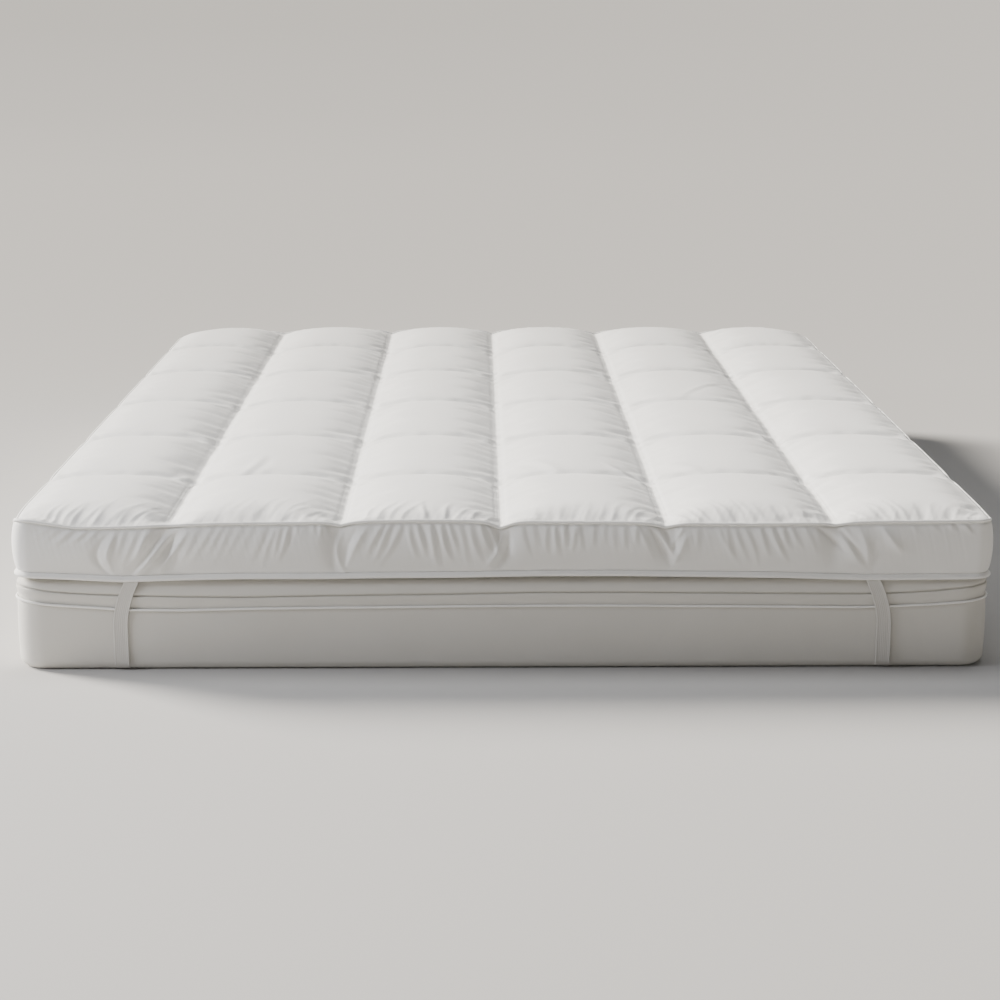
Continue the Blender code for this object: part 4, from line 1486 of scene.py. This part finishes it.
# ---------------------------------------------------------------- the corner straps
@dataclass
class Strap:
    """One flat elastic strap, from the topper's foot or head, under the corner, to its side."""

    place: str
    sign_x: float
    sign_y: float
    finishes: Finishes
    width: float = 0.023
    thick: float = 0.0015
    out: float = 0.00325  # from the mattress's face to the strap's middle
    sewn_out: float = 0.0012  # the same at its sewn end
    lean: float = 0.45  # share of its way down in which it leans out
    sewn: float = 0.1880  # from the mattress's other face to its sewn end
    low: float = 0.1685  # the same where it hangs straight
    bend_low: float = 0.072  # height at which it becomes straight
    rounding: float = 0.015  # of the mattress's floor edge
    turn: float = 0.030  # length of the handles that bend it under the corner
    under: float = 0.00105  # height of its middle under the mattress

    @classmethod
    def half_path(cls) -> Array:
        """The strap's middle from its sewn end to the middle of its run under the corner.

        Returns:
            Rows of distances in from the mattress's side face and end face, and a height.
        """
        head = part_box("mattress_body")[1].z - 0.3 * MM
        rows = []
        for share in np.linspace(0.0, 1.0, 23):
            across = cls.low + (cls.sewn - cls.low) * (1.0 - share) ** 1.8
            stand = cls.sewn_out + (cls.out - cls.sewn_out) * float(ease(share / cls.lean))
            rows.append((across, -stand, head - (head - cls.bend_low) * share))
        for share in np.linspace(0.1, 1.0, 10):
            rows.append((cls.low, -cls.out, cls.bend_low + (cls.rounding - cls.bend_low) * share))
        wide = cls.rounding + cls.out
        deep = cls.rounding - cls.under
        for angle in np.linspace(0.125, 1.0, 8) * math.pi / 2:
            inward = cls.rounding - wide * math.cos(angle)
            rows.append((cls.low, inward, cls.rounding - deep * math.sin(angle)))
        start = np.array([cls.low, cls.rounding])
        handle = start + np.array([0.0, cls.turn])
        for t in np.linspace(0.03125, 0.5, 16):
            near = start * (1 - t) ** 3 + handle * 3 * t * (1 - t) ** 2
            far = handle[::-1] * 3 * t * t * (1 - t) + start[::-1] * t**3
            rows.append((*(near + far), cls.under))
        return np.array(rows)

    def middle_line(self) -> tuple[Array, Array, Array]:
        """The strap's middle line, and its two directions along that line.

        Returns:
            Points, the directions across the strap and the directions out of its outer face.
        """
        half = self.half_path()
        inward = np.vstack([half, half[-2::-1][:, [1, 0, 2]]])
        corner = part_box("mattress_body")[1]
        x = self.sign_x * (corner.x - inward[:, 0])
        y = self.sign_y * (corner.y - inward[:, 1])
        path = np.column_stack([x, y, inward[:, 2]])
        run = unit(np.gradient(path, axis=0))
        on_first_face = np.arange(len(path)) < len(half)
        across = np.where(on_first_face[:, None], (1.0, 0.0, 0.0), (0.0, 1.0, 0.0))
        under = (np.abs(run[:, 2]) < 0.35) & (path[:, 2] < 0.002)
        across[under] = unit(run[:, [1, 0, 2]] * (-1.0, 1.0, 0.0))[under]
        for index in range(1, len(path)):
            if np.dot(across[index], across[index - 1]) < 0.0:
                across[index] = -across[index]
        face = unit(np.cross(across, run))
        if face[0, 1] * self.sign_y < 0.0:
            return path, -across, -face
        return path, across, face

    def build(self) -> bpy.types.Object:
        """Lofts the strap through a flat section with slightly thicker edges."""
        path, across, face = self.middle_line()
        length = np.concatenate(([0.0], np.cumsum(np.linalg.norm(np.diff(path, axis=0), axis=1))))
        section = self.section()
        loft = Loft()
        rows = [loft.add_row(path + across * place + face * stand) for place, stand in section]
        for index, row in enumerate(rows):
            after = (index + 1) % len(rows)
            loft.skin(row, rows[after], length, section[index][0], section[after][0], False)
        for end, order in ((0, -1), (-1, 1)):
            loft.cap(np.array([row[end] for row in rows])[::order], path[end])
        piece = loft.piece("strap_band_" + self.place)
        shape = bmesh.new()
        shape.from_mesh(piece.data)
        bmesh.ops.recalc_face_normals(shape, faces=shape.faces)
        shape.to_mesh(piece.data)
        shape.free()
        dress(piece, self.finishes.elastic, "strap_elastic", "strap_" + self.place)
        return piece

    def section(self) -> list[tuple[float, float]]:
        """The strap's outline, as places across it and heights above its middle."""
        half = self.width / 2
        edge = 0.0016
        thick = self.thick / 2
        left = [
            (-half, 0.0),
            (-half + 0.0004, thick * 0.8),
            (-half + edge / 2, thick),
            (-half + edge, thick * 0.72),
            (-half * 0.4, thick * 0.78),
        ]
        right = [(-across, height) for across, height in reversed(left)]
        lower = [(share * half, -thick * 0.8) for share in (0.9, 0.0, -0.9)]
        return left + right + lower


# ---------------------------------------------------------------- the studio
@dataclass
class Studio:
    """A pale floor, soft light and the camera at the photograph's place."""

    eye: tuple[float, float, float] = (-0.0378, -4.1575, 1.0017)
    pitch: float = 13.04  # degrees down
    yaw: float = -0.6045  # degrees, to the right
    lens: float = 75.06
    far_place: tuple[float, float, float] = (-0.82, 0.42, 0.44)  # direction of the far light
    far_strength: float = 11.5  # watts per square metre
    far_width: float = 18.0  # degrees
    glow: float = 0.095  # strength of the light from all round
    # Each lamp's name, place, the point that it is aimed at, width and height, watts and colour.
    lamps: tuple[tuple, ...] = (
        ("left_fill", (-3.0, -1.80, 1.45), (0.2, -1.0, 0.2), (0.9, 0.9), 62.0, "#F3F6FF"),
        ("overhead", (0.0, -0.66, 2.3), (0.0, -0.66, 0.0), (3.0, 0.7), 26.0, "#F6F8FB"),
    )
    # Radius and rise of each ring of the floor, and the share of the rise left out beyond the foot.
    floor_rings: tuple[tuple[float, float], ...] = (
        (10.0, 0.0),
        (14.0, 0.2),
        (20.0, 0.9),
        (40.0, 4.5),
        (60.0, 9.0),
    )
    floor_lower: float = 0.7
    floor_steps: int = 96

    def floor(self) -> None:
        """The pale floor under the bed, which rises gently far from it, least beyond its foot."""
        base = CAD_BOX[0].z - 0.2 * MM
        turns = np.arange(self.floor_steps) * TAU / self.floor_steps
        share = 1.0 - self.floor_lower * np.maximum(0.0, -np.sin(turns))
        loft = Loft()
        rows = []
        for radius, rise in self.floor_rings:
            ring = np.column_stack([radius * np.cos(turns), radius * np.sin(turns), base + rise * share])
            rows.append(loft.add_row(ring))
        for inner, outer in zip(rows, rows[1:]):
            loft.skin(inner, outer, np.arange(self.floor_steps + 1), 0.0, 1.0, True)
        loft.cap(rows[0], np.array([0.0, 0.0, base]))
        floor = loft.piece("floor")
        made = bpy.data.materials.new("floor_matt_paint")
        made.use_nodes = True
        shader = made.node_tree.nodes["Principled BSDF"]
        shader.inputs["Base Color"].default_value = hex_colour("#C3C1BE")
        shader.inputs["Roughness"].default_value = 0.9
        floor.data.materials.append(made)

    def light(self, kind: str, name: str, aim: Vector, power: float, colour: str) -> bpy.types.Object:
        """One light.

        Args:
            kind: AREA for a soft lamp, SUN for a far light that reaches everything alike.
            name: What it is called.
            aim: The direction that it shines in.
            power: In watts, or in watts per square metre for a far light.
            colour: As a hex value.

        Returns:
            The light, at the origin.
        """
        light = bpy.data.lights.new(name, kind)
        light.energy = power
        light.color = hex_colour(colour)[:3]
        made = put_in_scene(name, light)
        made.rotation_euler = aim.to_track_quat("-Z", "Y").to_euler()
        return made

    def lights(self) -> None:
        """The far light from the left, a fill beside the foot, one overhead, and the room's glow."""
        far = self.light("SUN", "far_light", -Vector(self.far_place), self.far_strength, "#FFF9F0")
        far.data.angle = math.radians(self.far_width)
        for name, place, aim, size, power, colour in self.lamps:
            lamp = self.light("AREA", name, Vector(aim) - Vector(place), power, colour)
            lamp.location = place
            lamp.data.shape = "RECTANGLE"
            lamp.data.size, lamp.data.size_y = size
        world = bpy.data.worlds.new("studio")
        world.use_nodes = True
        sky = world.node_tree.nodes["Background"]
        sky.inputs["Color"].default_value = hex_colour("#F6F8FB")
        sky.inputs["Strength"].default_value = self.glow
        bpy.context.scene.world = world

    def camera(self) -> None:
        """The camera, which sees the bed as the photograph does."""
        lens = bpy.data.cameras.new("camera")
        lens.lens = self.lens
        lens.sensor_width = 36.0
        lens.clip_end = 200.0
        camera = put_in_scene("camera", lens)
        camera.location = self.eye
        camera.rotation_euler = (math.radians(90.0 - self.pitch), 0.0, math.radians(self.yaw))
        bpy.context.scene.camera = camera

    def build(self) -> None:
        """Sets up the studio."""
        self.floor()
        self.lights()
        self.camera()


# ---------------------------------------------------------------- the whole
def main() -> None:
    """Builds every sub-assembly in order."""
    logging.basicConfig(level=logging.INFO, format="%(name)s: %(message)s")
    finishes = Finishes()
    topper = Topper(QuiltForm(), finishes)
    topper.build()
    Sewing(topper, finishes).build()
    Mattress(topper, finishes).build()
    for end, sign_y in (("foot", -1.0), ("head", 1.0)):
        for hand, sign_x in (("left", -1.0), ("right", 1.0)):
            Strap(f"{end}_{hand}", sign_x, sign_y, finishes).build()
    Studio().build()


if __name__ == "__main__":
    main()
